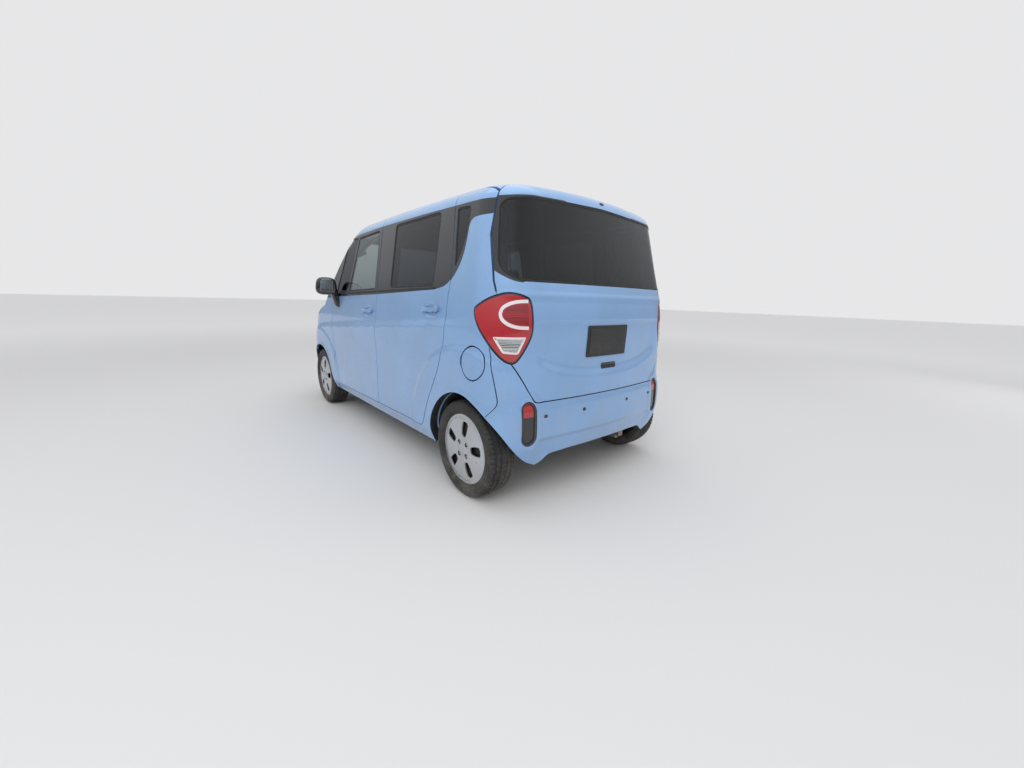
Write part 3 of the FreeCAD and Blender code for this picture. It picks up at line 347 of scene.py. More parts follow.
def end_points(line, sign=1):
    """Skin points seen from the rear, or the front with sign -1; columns x, z."""
    a = np.array(line, float)
    start = np.column_stack([a[:, 0], np.full(len(a), 0.9 if sign > 0 else 0.0), a[:, 1]])
    return hit(start, np.tile([0, 1.0 * sign, 0], (len(a), 1)), 1.95)


def from_end(line, sign=1):
    """Chart line of points seen from an end; columns x, z."""
    return chart_of(end_points(line, sign))


def from_top(line):
    """Chart line of points seen from above, columns x, y."""
    a = np.array(line, float)
    start = np.column_stack([a, top_height(a[:, 0], a[:, 1]) - 0.25])
    return chart_of(hit(start, np.tile([0, 0, 1.0], (len(a), 1)), 0.6))


for name, p in (("door", (0.79, 0.3, 0.9)), ("corner", (0.72, 1.66, 1.19))):
    t, v = chart_of(np.array([p]))[0]
    back = lay(np.array([t]), np.array([v]))[0][0]
    print(name, "chart", round(t, 3), round(v, 3), "->", np.round(back, 3))

# %% [markdown]
# ## Panels
# A pressed panel is a thin shell whose edge is folded back. Each one here starts as a flat
# outline on the chart. A triangulation fills it with an even grid, the skin gives every
# point its place and its exact normal, and three rings along the outline make the folded
# edge. Reflections then run on from panel to panel, because the normals come from the form
# and not from the triangles.

# %% Lines on the chart
SPACING = 0.016


def resample(line, step, closed):
    """A polyline with points about step apart that keeps its corners."""
    a = np.array(line, float)
    ends = np.roll(a, -1, axis=0) if closed else a[1:]
    out = []
    for p, q in zip(a, ends):
        count = max(1, int(round(np.linalg.norm(q - p) / step)))
        out += [p + (q - p) * i / count for i in range(count)]
    if not closed:
        out.append(a[-1])
    return np.array(out)


def rounded(corners, radii, closed=True):
    """A polygon with each corner replaced by a curve that starts about a radius away."""
    pts = [np.array(c, float) for c in corners]
    count = len(pts)
    if np.isscalar(radii):
        radii = [radii] * count
    out = []
    for i, (p, radius) in enumerate(zip(pts, radii)):
        if not closed and i in (0, count - 1) or radius <= 0:
            out.append(p)
            continue
        before, after = pts[i - 1] - p, pts[(i + 1) % count] - p
        reach = min(radius, 0.48 * np.linalg.norm(before), 0.48 * np.linalg.norm(after))
        a = p + before / np.linalg.norm(before) * reach
        b = p + after / np.linalg.norm(after) * reach
        steps = max(3, int(reach / 0.006))
        out += [(1 - s) ** 2 * a + 2 * s * (1 - s) * p + s * s * b for s in np.linspace(0, 1, steps + 1)]
    return np.array(out)


def open_run(points, radius, step=0.01):
    """An open line with softened corners and points about step apart."""
    return resample(rounded(points, radius, closed=False), step, False)


def circle(x, y, radius, count=60, tall=None):
    """A round outline, or an oval one if its upright radius is given too."""
    turns = np.linspace(0, 2 * math.pi, count + 1)[:-1]
    return [(x + radius * math.cos(a), y + (tall or radius) * math.sin(a)) for a in turns]


def closed(ring):
    return np.vstack([ring, ring[:1]])


def spline(p0, p1, p2, p3, per):
    """Points from p1 towards p2 on a smooth curve through all four."""
    return [0.5 * (2 * p1 + (p2 - p0) * s + (2 * p0 - 5 * p1 + 4 * p2 - p3) * s**2
        + (3 * p1 - p0 - 3 * p2 + p3) * s**3) for s in np.arange(per) / per]


def smooth_loop(points, per=8):
    """A closed curve through points."""
    count = len(points)
    return np.vstack([spline(*(points[(i + k) % count] for k in (-1, 0, 1, 2)), per) for i in range(count)])


def ring_of(line, fine=0.009):
    """A closed line, evenly divided and counter-clockwise."""
    ring = resample(line, fine, True)
    keep = lengths(ring - np.roll(ring, 1, axis=0)) > 1e-4
    ring = ring[keep]
    area = np.sum(ring[:, 0] * np.roll(ring[:, 1], -1) - ring[:, 1] * np.roll(ring[:, 0], -1))
    return ring if area > 0 else ring[::-1]


def shifted(ring, inward):
    """A closed counter-clockwise line moved inward, or outward if negative."""
    before, after = ring - np.roll(ring, 1, axis=0), np.roll(ring, -1, axis=0) - ring
    before /= lengths(before)[:, None]
    after /= lengths(after)[:, None]
    across = before + after
    across = np.column_stack([-across[:, 1], across[:, 0]])
    length = np.maximum(lengths(across), 0.5)
    return ring + across / (length**2)[:, None] * 2 * inward


def inside(points, ring):
    """Which points lie in a closed line."""
    x, y = points[:, 0][:, None], points[:, 1][:, None]
    a, b = ring, np.roll(ring, -1, axis=0)
    found = np.zeros(len(points), bool)
    for start in range(0, len(points), 4000):
        s = slice(start, start + 4000)
        spans = (a[:, 1] > y[s]) != (b[:, 1] > y[s])
        with np.errstate(divide="ignore", invalid="ignore"):
            cut = (b[:, 0] - a[:, 0]) * (y[s] - a[:, 1]) / (b[:, 1] - a[:, 1]) + a[:, 0]
        found[s] = (np.sum(spans & (x[s] < cut), axis=1) % 2).astype(bool)
    return found


def far_from(points, line, gap):
    """Which points lie further than gap from every point of a line."""
    keep = np.ones(len(points), bool)
    for start in range(0, len(points), 2000):
        s = slice(start, start + 2000)
        near = np.min(np.linalg.norm(points[s][:, None] - line[None], axis=2), axis=1)
        keep[s] = near > gap
    return keep


def between(points, rings):
    """Which points lie inside the first ring and outside the others."""
    keep = inside(points, rings[0])
    for hole in rings[1:]:
        keep &= ~inside(points, hole)
    return keep


def fill(rings, inner_lines=(), spacing=SPACING):
    """Triangles between the rings on an even grid, and where each ring point ended up."""
    edge_points = np.vstack(rings)

    def edge_near(p, reach=math.inf):
        """The number of the edge point nearest to p, in a list that is empty past reach."""
        gaps = lengths(edge_points - p)
        nearest = int(np.argmin(gaps))
        return [nearest] if gaps[nearest] < reach else []

    low, high = rings[0].min(0), rings[0].max(0)
    us = np.arange(low[0] + spacing / 2, high[0], spacing)
    vs = np.arange(low[1] + spacing / 2, high[1], spacing)
    grid = np.array([(u + (spacing / 2 if j % 2 else 0), v) for j, v in enumerate(vs) for u in us])
    if len(grid):
        grid = grid[between(grid, rings)]
        grid = grid[far_from(grid, edge_points, spacing * 0.6)]
    cuts = []
    for line in inner_lines:
        line = resample(line, spacing * 0.7, False)
        keep = between(line, rings) & far_from(line, edge_points, spacing * 0.3)
        cuts.append((line, keep))
        if len(grid):
            grid = grid[far_from(grid, line, spacing * 0.5)]
    points, edges = list(edge_points), []
    start = 0
    for ring in rings:
        count = len(ring)
        edges += [(start + i, start + (i + 1) % count) for i in range(count)]
        start += count
    for line, keep in cuts:
        last = None
        for p, good in zip(line, keep):
            if not good:
                edges += [(last, near) for near in edge_near(p) if last is not None]
                last = None
                continue
            points.append(p)
            starts = edge_near(p, spacing * 1.2) if last is None else [last]
            last = len(points) - 1
            edges += [(near, last) for near in starts]
        if last is not None:
            edges += [(last, near) for near in edge_near(points[last], spacing * 1.2)]
    points += list(grid)
    verts, _, faces, origins, _, _ = geometry.delaunay_2d_cdt(
        [Vector(p) for p in points], edges, [], 0, 1e-7)
    verts = np.array([tuple(p) for p in verts])
    tris = np.array([f for f in faces if len(f) == 3])
    tris = tris[between(verts[tris].mean(axis=1), rings)]
    a, b, c = (verts[tris[:, k]] for k in range(3))
    turned = (b - a)[:, 0] * (c - a)[:, 1] - (b - a)[:, 1] * (c - a)[:, 0] < 0
    tris[turned] = tris[turned][:, ::-1]
    return verts, tris, {old: new for new, olds in enumerate(origins) for old in olds}


square = ring_of([(0, 0), (0.2, 0), (0.2, 0.2), (0, 0.2)])
print("square of 20 cm:", len(fill([square])[1]), "triangles")


# %% From chart to mesh
def lay_side(uv):
    """The left wall of the body."""
    return lay(uv[:, 0], uv[:, 1])


def mirrored_halves(uv, t):
    points, way = lay(t, uv[:, 1])
    sign = np.where(uv[:, 0] < 0, -1.0, 1.0)
    points[:, 0] *= sign
    way[:, 0] *= sign
    return points, way


def lay_rear(uv):
    """Across the rear: u is t on the left and minus t on the right."""
    return mirrored_halves(uv, np.abs(uv[:, 0]))


def lay_front(uv):
    """Across the front: u is the run from the middle, positive on the left."""
    return mirrored_halves(uv, T_MAX - np.abs(uv[:, 0]))


def lay_top(uv):
    """Hood, windscreen and roof: u, v are x, y."""
    start = np.column_stack([uv, top_height(uv[:, 0], uv[:, 1]) - 0.2])
    points = hit(start, np.tile([0, 0, 1.0], (len(uv), 1)), 0.5)
    return points, normals(points)


def placed(name, data):
    """A new object in the scene."""
    piece = bpy.data.objects.new(name, data)
    bpy.context.scene.collection.objects.link(piece)
    return piece


def clean(name, mesh_data, groups, materials):
    """A mesh object from points, faces, their material numbers and exact normals."""
    points, faces, way = mesh_data
    mesh = bpy.data.meshes.new(name)
    mesh.from_pydata([tuple(p) for p in points], [], [tuple(int(i) for i in f) for f in faces])
    mesh.update()
    piece = placed(name, mesh)
    for look in materials:
        mesh.materials.append(M[look])
    mesh.polygons.foreach_set("material_index", np.array(groups, dtype=np.int32))
    mesh.polygons.foreach_set("use_smooth", np.ones(len(faces), bool))
    if way is not None:
        mesh.normals_split_custom_set_from_vertices([tuple(n) for n in way])
    mesh.update()
    return piece


def panel(name, outline, materials, lay_on, holes=(), thick=0.02, edge=0.0025, top=0.0, lines=(), kind=None,
        inner=1, wall=None, spacing=SPACING):
    """A closed shell: skin at depth top, folded edge, and an inner face thick behind it.

    kind gives each skin face its material number from its chart centre, inner is the number
    of the inner face, and wall that of the folded edge, or a function like kind."""
    wall = inner if wall is None else wall
    walls_of = wall if callable(wall) else (lambda uv: np.full(len(uv), wall))
    loops = [ring_of(outline)] + [ring_of(h) for h in holes]
    soft = [shifted(ring, edge if i == 0 else -edge) for i, ring in enumerate(loops)]
    verts, tris, place = fill(soft, lines, spacing)
    skin_points, way = lay_on(verts)
    outer = skin_points - way * top
    number = (lambda uv: np.zeros(len(uv), int)) if kind is None else kind
    behind = len(verts)
    points, all_ways = [outer, skin_points - way * (top + thick)], [way, -way]
    faces = [tris, tris[:, ::-1] + behind]
    groups = [number(verts[tris].mean(axis=1)), np.full(len(tris), inner)]
    total, start = 2 * behind, 0
    for i, ring in enumerate(loops):
        count = len(ring)
        first = np.array([place[start + k] for k in range(count)])
        start += count
        rim, rim_way = lay_on(ring)
        outward = rim - outer[first] - way[first] * top
        outward -= rim_way * np.sum(outward * rim_way, axis=1)[:, None]
        outward /= np.maximum(lengths(outward), 1e-9)[:, None]
        mid = rim - outward * edge * 0.29 - rim_way * (top + edge * 0.29)
        rows = [first, None, None, None, behind + first]
        levels = [(mid, rim_way + outward), (rim - rim_way * (top + edge), outward),
            (rim - rim_way * (top + thick), outward)]
        for k, (row, row_way) in enumerate(levels):
            rows[k + 1] = np.arange(total, total + count)
            points.append(row)
            all_ways.append(row_way / lengths(row_way)[:, None])
            total += count
        for k in range(4):
            a, b = rows[k], rows[k + 1]
            a2, b2 = np.roll(a, -1), np.roll(b, -1)
            quads = np.stack([a, b, b2, a2], axis=1)
            faces.append(quads[:, ::-1] if i else quads)
            groups.append((number if k < 2 else walls_of)((ring + np.roll(ring, -1, axis=0)) / 2))
    a, b, c = (outer[tris[:, k]] for k in range(3))
    if np.sum(np.cross(b - a, c - a) * way[tris[:, 0]]) < 0:
        faces = [block[:, ::-1] for block in faces]
    faces = [f for block in faces for f in block]
    return clean(name, (np.vstack(points), faces, np.vstack(all_ways)), np.concatenate(groups), materials)


def plain(name, outline, look, lay_on, **settings):
    """A panel of one finish."""
    return panel(name, outline, [look], lay_on, inner=0, **settings)


def mirror_piece(piece, name):
    """The other side's copy of a piece."""
    twin = piece.copy()
    twin.data = piece.data.copy()
    twin.name = twin.data.name = name
    bpy.context.scene.collection.objects.link(twin)
    mesh = twin.data
    ways = {}
    for loop, normal in zip(mesh.loops, mesh.corner_normals):
        x, y, z = normal.vector
        ways[loop.vertex_index] = (-x, y, z)
    mesh.transform(Matrix.Scale(-1, 4, (1, 0, 0)))
    mesh.flip_normals()
    mesh.normals_split_custom_set_from_vertices(
        [ways.get(i, (0, 0, 1)) for i in range(len(mesh.vertices))])
    mesh.update()
    return twin


def show(*pieces):
    for piece in pieces:
        print(piece.name, len(piece.data.polygons), "faces")


print("panel tools ready")

# %% [markdown]
# ## Finishes
# Each finish is one Principled shader with constants on its own sockets. What varies over a
# surface, such as dust, plastic grain, cloth weave and metal flake, comes from small node
# groups that many finishes share with their own values.

# %% Node groups
def new_group(name, inputs, outputs):
    """A shader node group with float or colour sockets, given as (name, kind, default)."""
    tree = bpy.data.node_groups.new(name, "ShaderNodeTree")
    for title, kind, default in inputs:
        socket = tree.interface.new_socket(name=title, in_out="INPUT", socket_type="NodeSocket" + kind)
        socket.default_value = default
    for title, kind in outputs:
        tree.interface.new_socket(name=title, in_out="OUTPUT", socket_type="NodeSocket" + kind)
    return tree, tree.nodes.new("NodeGroupInput"), tree.nodes.new("NodeGroupOutput")


def add(tree, kind, links=(), **settings):
    """A node with its settings, and links given as (input name or number, source socket or value)."""
    node = tree.nodes.new("ShaderNode" + kind)
    for key, value in settings.items():
        setattr(node, key, value)
    for place, source in links:
        if isinstance(source, bpy.types.NodeSocket):
            tree.links.new(source, node.inputs[place])
        else:
            node.inputs[place].default_value = source
    return node


def noise(tree, scale, detail=3.0, rough=0.5):
    """Noise in the piece's own coordinates, in metres."""
    where = add(tree, "TexCoord").outputs["Object"]
    links = [("Vector", where), ("Detail", detail), ("Roughness", rough), ("Scale", scale)]
    return add(tree, "TexNoise", links).outputs["Fac"]


def ramp(tree, value, low, high, out_low=0.0, out_high=1.0):
    links = [("Value", value), ("From Min", low), ("From Max", high), ("To Min", out_low),
        ("To Max", out_high)]
    return add(tree, "MapRange", links, interpolation_type="SMOOTHSTEP").outputs[0]


def times(tree, a, b):
    return add(tree, "Math", [(0, a), (1, b)], operation="MULTIPLY").outputs[0]


def plus(tree, a, b):
    return add(tree, "Math", [(0, a), (1, b)], operation="ADD").outputs[0]


def mixed(tree, share, a, b):
    return add(tree, "Mix", [(0, share), (6, a), (7, b)], data_type="RGBA").outputs[2]


def dust_group():
    """Dust that thickens in patches and towards the ground: colour, roughness and mask."""
    tree, into, out = new_group("Road dust", [
        ("Colour", "Color", (0.5, 0.5, 0.5, 1)), ("Roughness", "Float", 0.3), ("Amount", "Float", 0.3),
        ("Ground height", "Float", 0.9), ("Dust", "Color", (0.42, 0.38, 0.32, 1))],
        [("Colour", "Color"), ("Roughness", "Float"), ("Mask", "Float")])
    height = add(tree, "SeparateXYZ", [(0, add(tree, "TexCoord").outputs["Object"])]).outputs["Z"]
    low = ramp(tree, height, into.outputs["Ground height"], 0.05, 0.15, 1.0)
    patches = ramp(tree, noise(tree, 5.0, 5.0, 0.6), 0.38, 0.68)
    specks = ramp(tree, noise(tree, 90.0, 3.0, 0.7), 0.5, 0.72)
    total = plus(tree, times(tree, specks, 0.45), times(tree, patches, 0.55))
    mask = times(tree, times(tree, total, low), into.outputs["Amount"])
    colour = mixed(tree, mask, into.outputs["Colour"], into.outputs["Dust"])
    rough = plus(tree, into.outputs["Roughness"], times(tree, mask, 0.5))
    for name, source in (("Colour", colour), ("Roughness", rough), ("Mask", mask)):
        tree.links.new(source, out.inputs[name])
    return tree


def grain_group():
    """Moulded plastic or leather grain: a height, and a mask of its hollows that finishes darken as painted
    shade.
    """
    tree, into, out = new_group(
        "Moulded grain", [("Scale", "Float", 900.0)], [("Height", "Float"), ("Hollows", "Float")])
    where = add(tree, "TexCoord").outputs["Object"]
    cells = add(tree, "TexVoronoi", [("Vector", where), ("Scale", into.outputs["Scale"])],
        feature="SMOOTH_F1")
    fine = noise(tree, into.outputs["Scale"], 2.0)
    height = plus(tree, cells.outputs["Distance"], times(tree, fine, 0.4))
    tree.links.new(height, out.inputs["Height"])
    tree.links.new(ramp(tree, height, 0.9, 0.3), out.inputs["Hollows"])
    return tree


def weave_group():
    """Knitted seat cloth: a height from crossed ribs, which finishes also use for a painted highlight on the
    raised ribs.
    """
    tree, into, out = new_group("Seat weave", [("Scale", "Float", 420.0)], [("Height", "Float")])
    where = add(tree, "TexCoord").outputs["Object"]
    heights = []
    for direction in ("X", "Z", "Y"):
        links = [("Vector", where), ("Scale", into.outputs["Scale"]), ("Distortion", 1.2), ("Detail", 1.0)]
        heights.append(add(tree, "TexWave", links, bands_direction=direction).outputs["Fac"])
    pair = times(tree, heights[0], heights[1])
    height = plus(tree, pair, times(tree, heights[2], 0.5))
    tree.links.new(height, out.inputs["Height"])
    return tree


def flake_group():
    """Metal flake in paint: a colour that sparkles slightly about its base."""
    tree, into, out = new_group(
        "Metal flake", [("Colour", "Color", (0.2, 0.4, 0.7, 1)), ("Depth", "Float", 0.25)],
        [("Colour", "Color")])
    where = add(tree, "TexCoord").outputs["Object"]
    cells = add(tree, "TexVoronoi", [("Vector", where), ("Scale", 1400.0)])
    shade = add(tree, "SeparateXYZ", [(0, cells.outputs["Color"])]).outputs[0]
    factor = times(tree, shade, into.outputs["Depth"])
    bright = mixed(tree, 1.0, into.outputs["Colour"], (0.62, 0.74, 0.9, 1))
    tree.links.new(mixed(tree, factor, into.outputs["Colour"], bright), out.inputs["Colour"])
    return tree


GROUPS = {"dust": dust_group(), "grain": grain_group(), "weave": weave_group(), "flake": flake_group()}
print("node groups:", ", ".join(GROUPS))


# %% A finish from its parts
def new_material(name):
    material = bpy.data.materials.new(name)
    material.use_nodes = True
    return material, material.node_tree, material.node_tree.nodes["Principled BSDF"]


def shared(tree, group, *links):
    """The outputs of a shared node group in this finish."""
    return add(tree, "Group", links, node_tree=GROUPS[group]).outputs


def finish(name, colour, rough=0.5, metal=0.0, dust=0.0, ground=0.9, grain=None, bump_size=0.0002,
        weave=None, flake=None, **sockets):
    """A material: colour and roughness pass through dust, and grain or weave raise the surface. Grain also
    darkens its hollows as painted shade, and weave lightens its raised ribs as a painted highlight.
    """
    material, tree, shader = new_material(name)
    shader.inputs["Metallic"].default_value = metal
    for key, value in sockets.items():
        shader.inputs[key.replace("_", " ")].default_value = value
    shade = (*[c * 0.9 for c in colour], 1.0)
    source = mixed(tree, ramp(tree, noise(tree, 3.0, 4.0), 0.3, 0.7), shade, (*colour, 1.0))
    height = None
    if flake:
        source = shared(tree, "flake", ("Colour", source), ("Depth", flake))["Colour"]
    if weave:
        height = shared(tree, "weave", ("Scale", weave))["Height"]
        # Painted highlight: the raised ribs of the weave are coloured lighter.
        light = (*[c * 1.5 for c in colour], 1.0)
        source = mixed(tree, times(tree, height, 0.5), source, light)
    if grain:
        cells = shared(tree, "grain", ("Scale", grain))
        height = cells["Height"]
        # Painted shade: the hollows of the grain are coloured darker.
        source = mixed(tree, times(tree, cells["Hollows"], 0.35), source, shade)
    rough_source = ramp(tree, noise(tree, 35.0, 4.0, 0.6), 0.3, 0.7, max(rough - 0.05, 0.0), rough + 0.05)
    if dust:
        dusty = shared(tree, "dust", ("Colour", source), ("Roughness", rough_source), ("Amount", dust),
            ("Ground height", ground))
        source, rough_source = dusty["Colour"], dusty["Roughness"]
    tree.links.new(source, shader.inputs["Base Color"])
    tree.links.new(rough_source, shader.inputs["Roughness"])
    if height is not None:
        raised = add(tree, "Bump", [("Strength", 0.5), ("Distance", bump_size), ("Height", height)])
        tree.links.new(raised.outputs[0], shader.inputs["Normal"])
    return material


def glass(name, tint):
    """Sheet glass that lets light through to what lies behind it, also in shadow."""
    material, tree, shader = new_material(name)
    shader.inputs["Transmission Weight"].default_value = 1.0
    shader.inputs["IOR"].default_value = 1.45
    shader.inputs["Metallic"].default_value = 0.0
    film = ramp(tree, noise(tree, 7.0, 5.0, 0.6), 0.35, 0.75, 0.0, 0.03)
    tree.links.new(film, shader.inputs["Roughness"])
    tone = ramp(tree, noise(tree, 2.0, 3.0), 0.3, 0.7)
    tinted = mixed(tree, tone, (*tint, 1.0), (*[min(c * 1.06, 1.0) for c in tint], 1.0))
    tree.links.new(tinted, shader.inputs["Base Color"])
    clear = add(tree, "BsdfTransparent", [("Color", (*[c**0.5 for c in tint], 1.0))])
    shadow = add(tree, "LightPath").outputs["Is Shadow Ray"]
    both = add(tree, "MixShader", [(0, shadow), (1, shader.outputs[0]), (2, clear.outputs[0])])
    tree.links.new(both.outputs[0], tree.nodes["Material Output"].inputs["Surface"])
    return material


M = {
    "paint": finish("Sky blue paint", (0.19, 0.385, 0.7), 0.34, 0.3, dust=0.3, ground=1.0, flake=0.22,
                    Coat_Weight=0.9, Coat_Roughness=0.05),
    "gloss": finish("Gloss black trim", (0.012, 0.013, 0.016), 0.1, dust=0.05, Coat_Weight=0.6,
                    Coat_Roughness=0.04),
    "black": finish("Black plastic", (0.02, 0.021, 0.022), 0.48, dust=0.35, grain=700.0),
    "liner": finish("Wheel arch felt", (0.016, 0.016, 0.016), 0.85, dust=0.7, grain=300.0),
    "rubber": finish("Door seal rubber", (0.014, 0.014, 0.015), 0.55, dust=0.1, grain=1200.0),
    "clear": glass("Light window glass", (0.66, 0.74, 0.72)),
    "screen": glass("Windscreen glass", (0.72, 0.79, 0.77)),
    "dark": glass("Privacy window glass", (0.08, 0.09, 0.105)),
    "trim": finish("Grey cabin plastic", (0.085, 0.085, 0.088), 0.55, grain=650.0),
    "pale": finish("Roof lining", (0.5, 0.48, 0.45), 0.85, weave=300.0, bump_size=0.0003),
    "carpet": finish("Floor carpet", (0.03, 0.03, 0.032), 0.95, grain=420.0, bump_size=0.0012),
    "steel": finish("Chassis steel", (0.05, 0.051, 0.053), 0.5, 0.6, dust=0.6, ground=0.7),
    "cast": finish("Cast alloy", (0.36, 0.36, 0.37), 0.45, 0.9, dust=0.5, ground=0.7, grain=500.0),
    "pipe": finish("Exhaust steel", (0.3, 0.27, 0.24), 0.4, 0.9, dust=0.5, ground=0.7),
    "plate": finish("Plate holder plastic", (0.014, 0.015, 0.016), 0.35, dust=0.15, grain=500.0),
    "red": finish("Red lamp lens", (0.42, 0.012, 0.02), 0.12, dust=0.1, Coat_Weight=1.0, Coat_Roughness=0.03),
    "deep_red": finish("Inner red reflector", (0.16, 0.004, 0.008), 0.2, dust=0.05, Coat_Weight=1.0),
    "light_bar": finish("White light bar", (0.78, 0.74, 0.76), 0.22, Coat_Weight=1.0),
    "reflector": finish("Lamp reflector", (0.72, 0.73, 0.75), 0.16, 0.85),
    "lens": glass("Clear lamp lens", (0.93, 0.94, 0.95)),
    "silver": finish("Silver wheel paint", (0.5, 0.51, 0.53), 0.32, 0.65, dust=0.35, ground=0.6, flake=0.15,
                     Coat_Weight=0.4),
    "tyre": finish("Tyre rubber", (0.022, 0.022, 0.023), 0.72, dust=0.4, ground=0.6, grain=500.0),
    "mirror": finish("Mirror glass", (0.8, 0.82, 0.84), 0.02, 1.0),
    "cloth": finish("Seat cloth", (0.075, 0.075, 0.08), 0.92, weave=420.0, bump_size=0.0006),
    "cloth_side": finish("Seat side cloth", (0.03, 0.03, 0.033), 0.9, weave=520.0, bump_size=0.0005),
}
print("finishes:", len(M))

# %% [markdown]
# ## Body panels
# The outlines are real seams, given in side, end or top view and turned into chart lines. The
# black band with the windows is one continuous graphic on this car, so it is a mask on the
# chart: each skin face is painted or black by the side of the band's edge on which it lies.

# %% Seams, columns y, z unless named otherwise
DOOR_LOW, SILL = 0.288, 0.224
FRONT_Y, SPLIT_Y, REAR_Y = NOSE + 1.102, NOSE + 2.082, NOSE + 3.04
ROOF_SEAM = 0.64
GATE_Y = NOSE + 3.318
CAD_GAP = 0.005


def top_run(y0, y1, x=ROOF_SEAM, count=24):
    """The roof seam seen from above, from y0 to y1."""
    return from_top([(x, y) for y in np.linspace(y0, y1, count)])


def side_run(points, radius=0.012):
    """A side line with softened corners, on the chart."""
    return from_side(open_run(points, radius, 0.012))


def arch_run(axle, start, end, radius=ARCH_RADIUS):
    """Part of a wheel arch, by angle in degrees from the rear, going up and over."""
    turns = np.radians(np.linspace(start, end, 46))
    return from_side([(axle + radius * math.cos(a), AXLE_Z + radius * math.sin(a)) for a in turns])


def screen_y(x, z):
    """Where the hood or windscreen surface is z high."""
    share = (np.asarray(x) / 0.8) ** 2
    rising = PROFILE[: np.argmax(PROFILE[:, 1]) + 1]
    return GLASS_CROWN * share + np.interp(z + ROOF_CROWN * share, rising[:, 1], rising[:, 0])


FRONT_EDGE = [(FRONT_Y + 0.235, HEIGHT - 0.15), (FRONT_Y - 0.008, 1.163), (FRONT_Y - 0.042, 1.058),
    (FRONT_Y - 0.012, 0.8), (FRONT_Y, DOOR_LOW + 0.012)]
MIDDLE_EDGE = [(SPLIT_Y, DOOR_LOW + 0.0154), (SPLIT_Y, BELT - 0.04), (SPLIT_Y - 0.025, HEIGHT - 0.09)]
ARCH_FRONT = REAR_AXLE - ARCH_RADIUS
BACK_EDGE = [(ARCH_FRONT - 0.12, DOOR_LOW + 0.022), (ARCH_FRONT - 0.092, DOOR_LOW + 0.045),
    (ARCH_FRONT - 0.01, 0.52), (REAR_Y - 0.047, 0.73), (REAR_Y - 0.002, 0.9), (REAR_Y, BELT - 0.02),
    (REAR_Y + 0.016, BELT + 0.063), (REAR_Y - 0.05, HEIGHT - 0.06)]


def moved(points, dy):
    return [(y + dy, z) for y, z in points]


def front_door_line():
    low = [(FRONT_Y, DOOR_LOW), (SPLIT_Y - CAD_GAP, DOOR_LOW + 0.0154)]
    body = low + moved(MIDDLE_EDGE, -CAD_GAP)[1:]
    up = side_run(body)
    top = top_run(SPLIT_Y - 0.037, FRONT_Y + 0.33)
    down = side_run(FRONT_EDGE[:-1] + [(FRONT_Y, DOOR_LOW)], 0.05)[:-1]
    return np.vstack([up, top, down])


def rear_door_line():
    up = side_run(BACK_EDGE, 0.06)
    top = top_run(REAR_Y - 0.06, SPLIT_Y - 0.032)
    down = side_run(MIDDLE_EDGE[::-1], 0.01)
    return np.vstack([up, top, down])


WINDOW_FRONT = [(FRONT_Y + 0.085, 1.116), (SPLIT_Y - 0.04, 1.146), (SPLIT_Y - 0.068, 1.564),
    (FRONT_Y + 0.3, 1.562), (FRONT_Y + 0.262, 1.535)]
WINDOW_REAR = [(SPLIT_Y + 0.215, 1.154), (REAR_Y - 0.165, 1.166), (REAR_Y - 0.18, 1.582),
    (SPLIT_Y + 0.195, 1.574)]
WINDOW_QUARTER = [(REAR_Y + 0.034, 1.262), (REAR_Y + 0.07, 1.325), (REAR_Y + 0.1, 1.41),
    (REAR_Y + 0.115, 1.51), (REAR_Y + 0.112, 1.574), (REAR_Y - 0.012, 1.578)]

# The black band: its lower edge climbs at the rear and turns up behind the quarter window.
BAND = from_side(resample(rounded([
    (-0.86, 1.072), (-0.456, 1.087), (0.27, 1.111), (1.11, 1.15), (1.215, 1.172), (1.29, 1.225),
    (1.338, 1.3), (1.358, 1.385), (1.366, 1.51), (1.7, 1.528), (1.7, 1.594), (0.85, 1.594),
    (0.2, 1.586), (-0.32, 1.568), (-0.47, 1.552), (-0.6, 1.5), (-0.86, 1.3)], 0.05), 0.01, True))


def band_kind(uv):
    """1 for skin faces inside the black band, 0 for painted ones."""
    return inside(uv, BAND).astype(int)


BAND_LINES = [closed(BAND)]
DOOR_THICK = 0.055
PAINTED = ["paint", "gloss", "trim", "black"]


def door(name, outline, window):
    hole = from_side(rounded(window, 0.03))
    return panel(name, outline, PAINTED, lay_side, holes=[hole], thick=DOOR_THICK, lines=BAND_LINES,
        kind=band_kind, inner=2, wall=0)


front_door = door("front_door_left_skin", front_door_line(), WINDOW_FRONT)
rear_door = door("rear_door_left_skin", rear_door_line(), WINDOW_REAR)
show(front_door, rear_door)

# %% [markdown]
# ### Seam round the tail lamp
# The lamp wraps the rear corner, so its edge is a curve through points in space. Quarter panel,
# tailgate and bumper all follow this one line, which keeps the gaps between them even.

# %% Tail lamp outline on the chart, from points x, y, z round its edge
LAMP_POINTS = np.array([
    (0.6, 1.775, 1.1), (0.64, 1.77, 1.124), (0.7, 1.74, 1.137), (0.748, 1.69, 1.135),
    (0.775, 1.6, 1.112), (0.782, 1.52, 1.072), (0.784, 1.502, 1.045), (0.788, 1.53, 0.985),
    (0.785, 1.6, 0.905), (0.755, 1.67, 0.832), (0.715, 1.71, 0.8), (0.68, 1.74, 0.806),
    (0.63, 1.765, 0.872), (0.592, 1.775, 0.945), (0.588, 1.775, 1.02)])
LAMP = ring_of(smooth_loop(chart_of(LAMP_POINTS)), 0.008)
LAMP_HOLE = ring_of(shifted(LAMP, -GAP), 0.008)


def two_ways(ring, start, end):
    """Both parts of a closed line between its points nearest to start and end."""
    i, j = (int(np.argmin(lengths(ring - p))) for p in (start, end))
    ahead, back = range(i, i + (j - i) % len(ring) + 1), range(i, i - (i - j) % len(ring) - 1, -1)
    return [np.take(ring, steps, axis=0, mode="wrap") for steps in (ahead, back)]


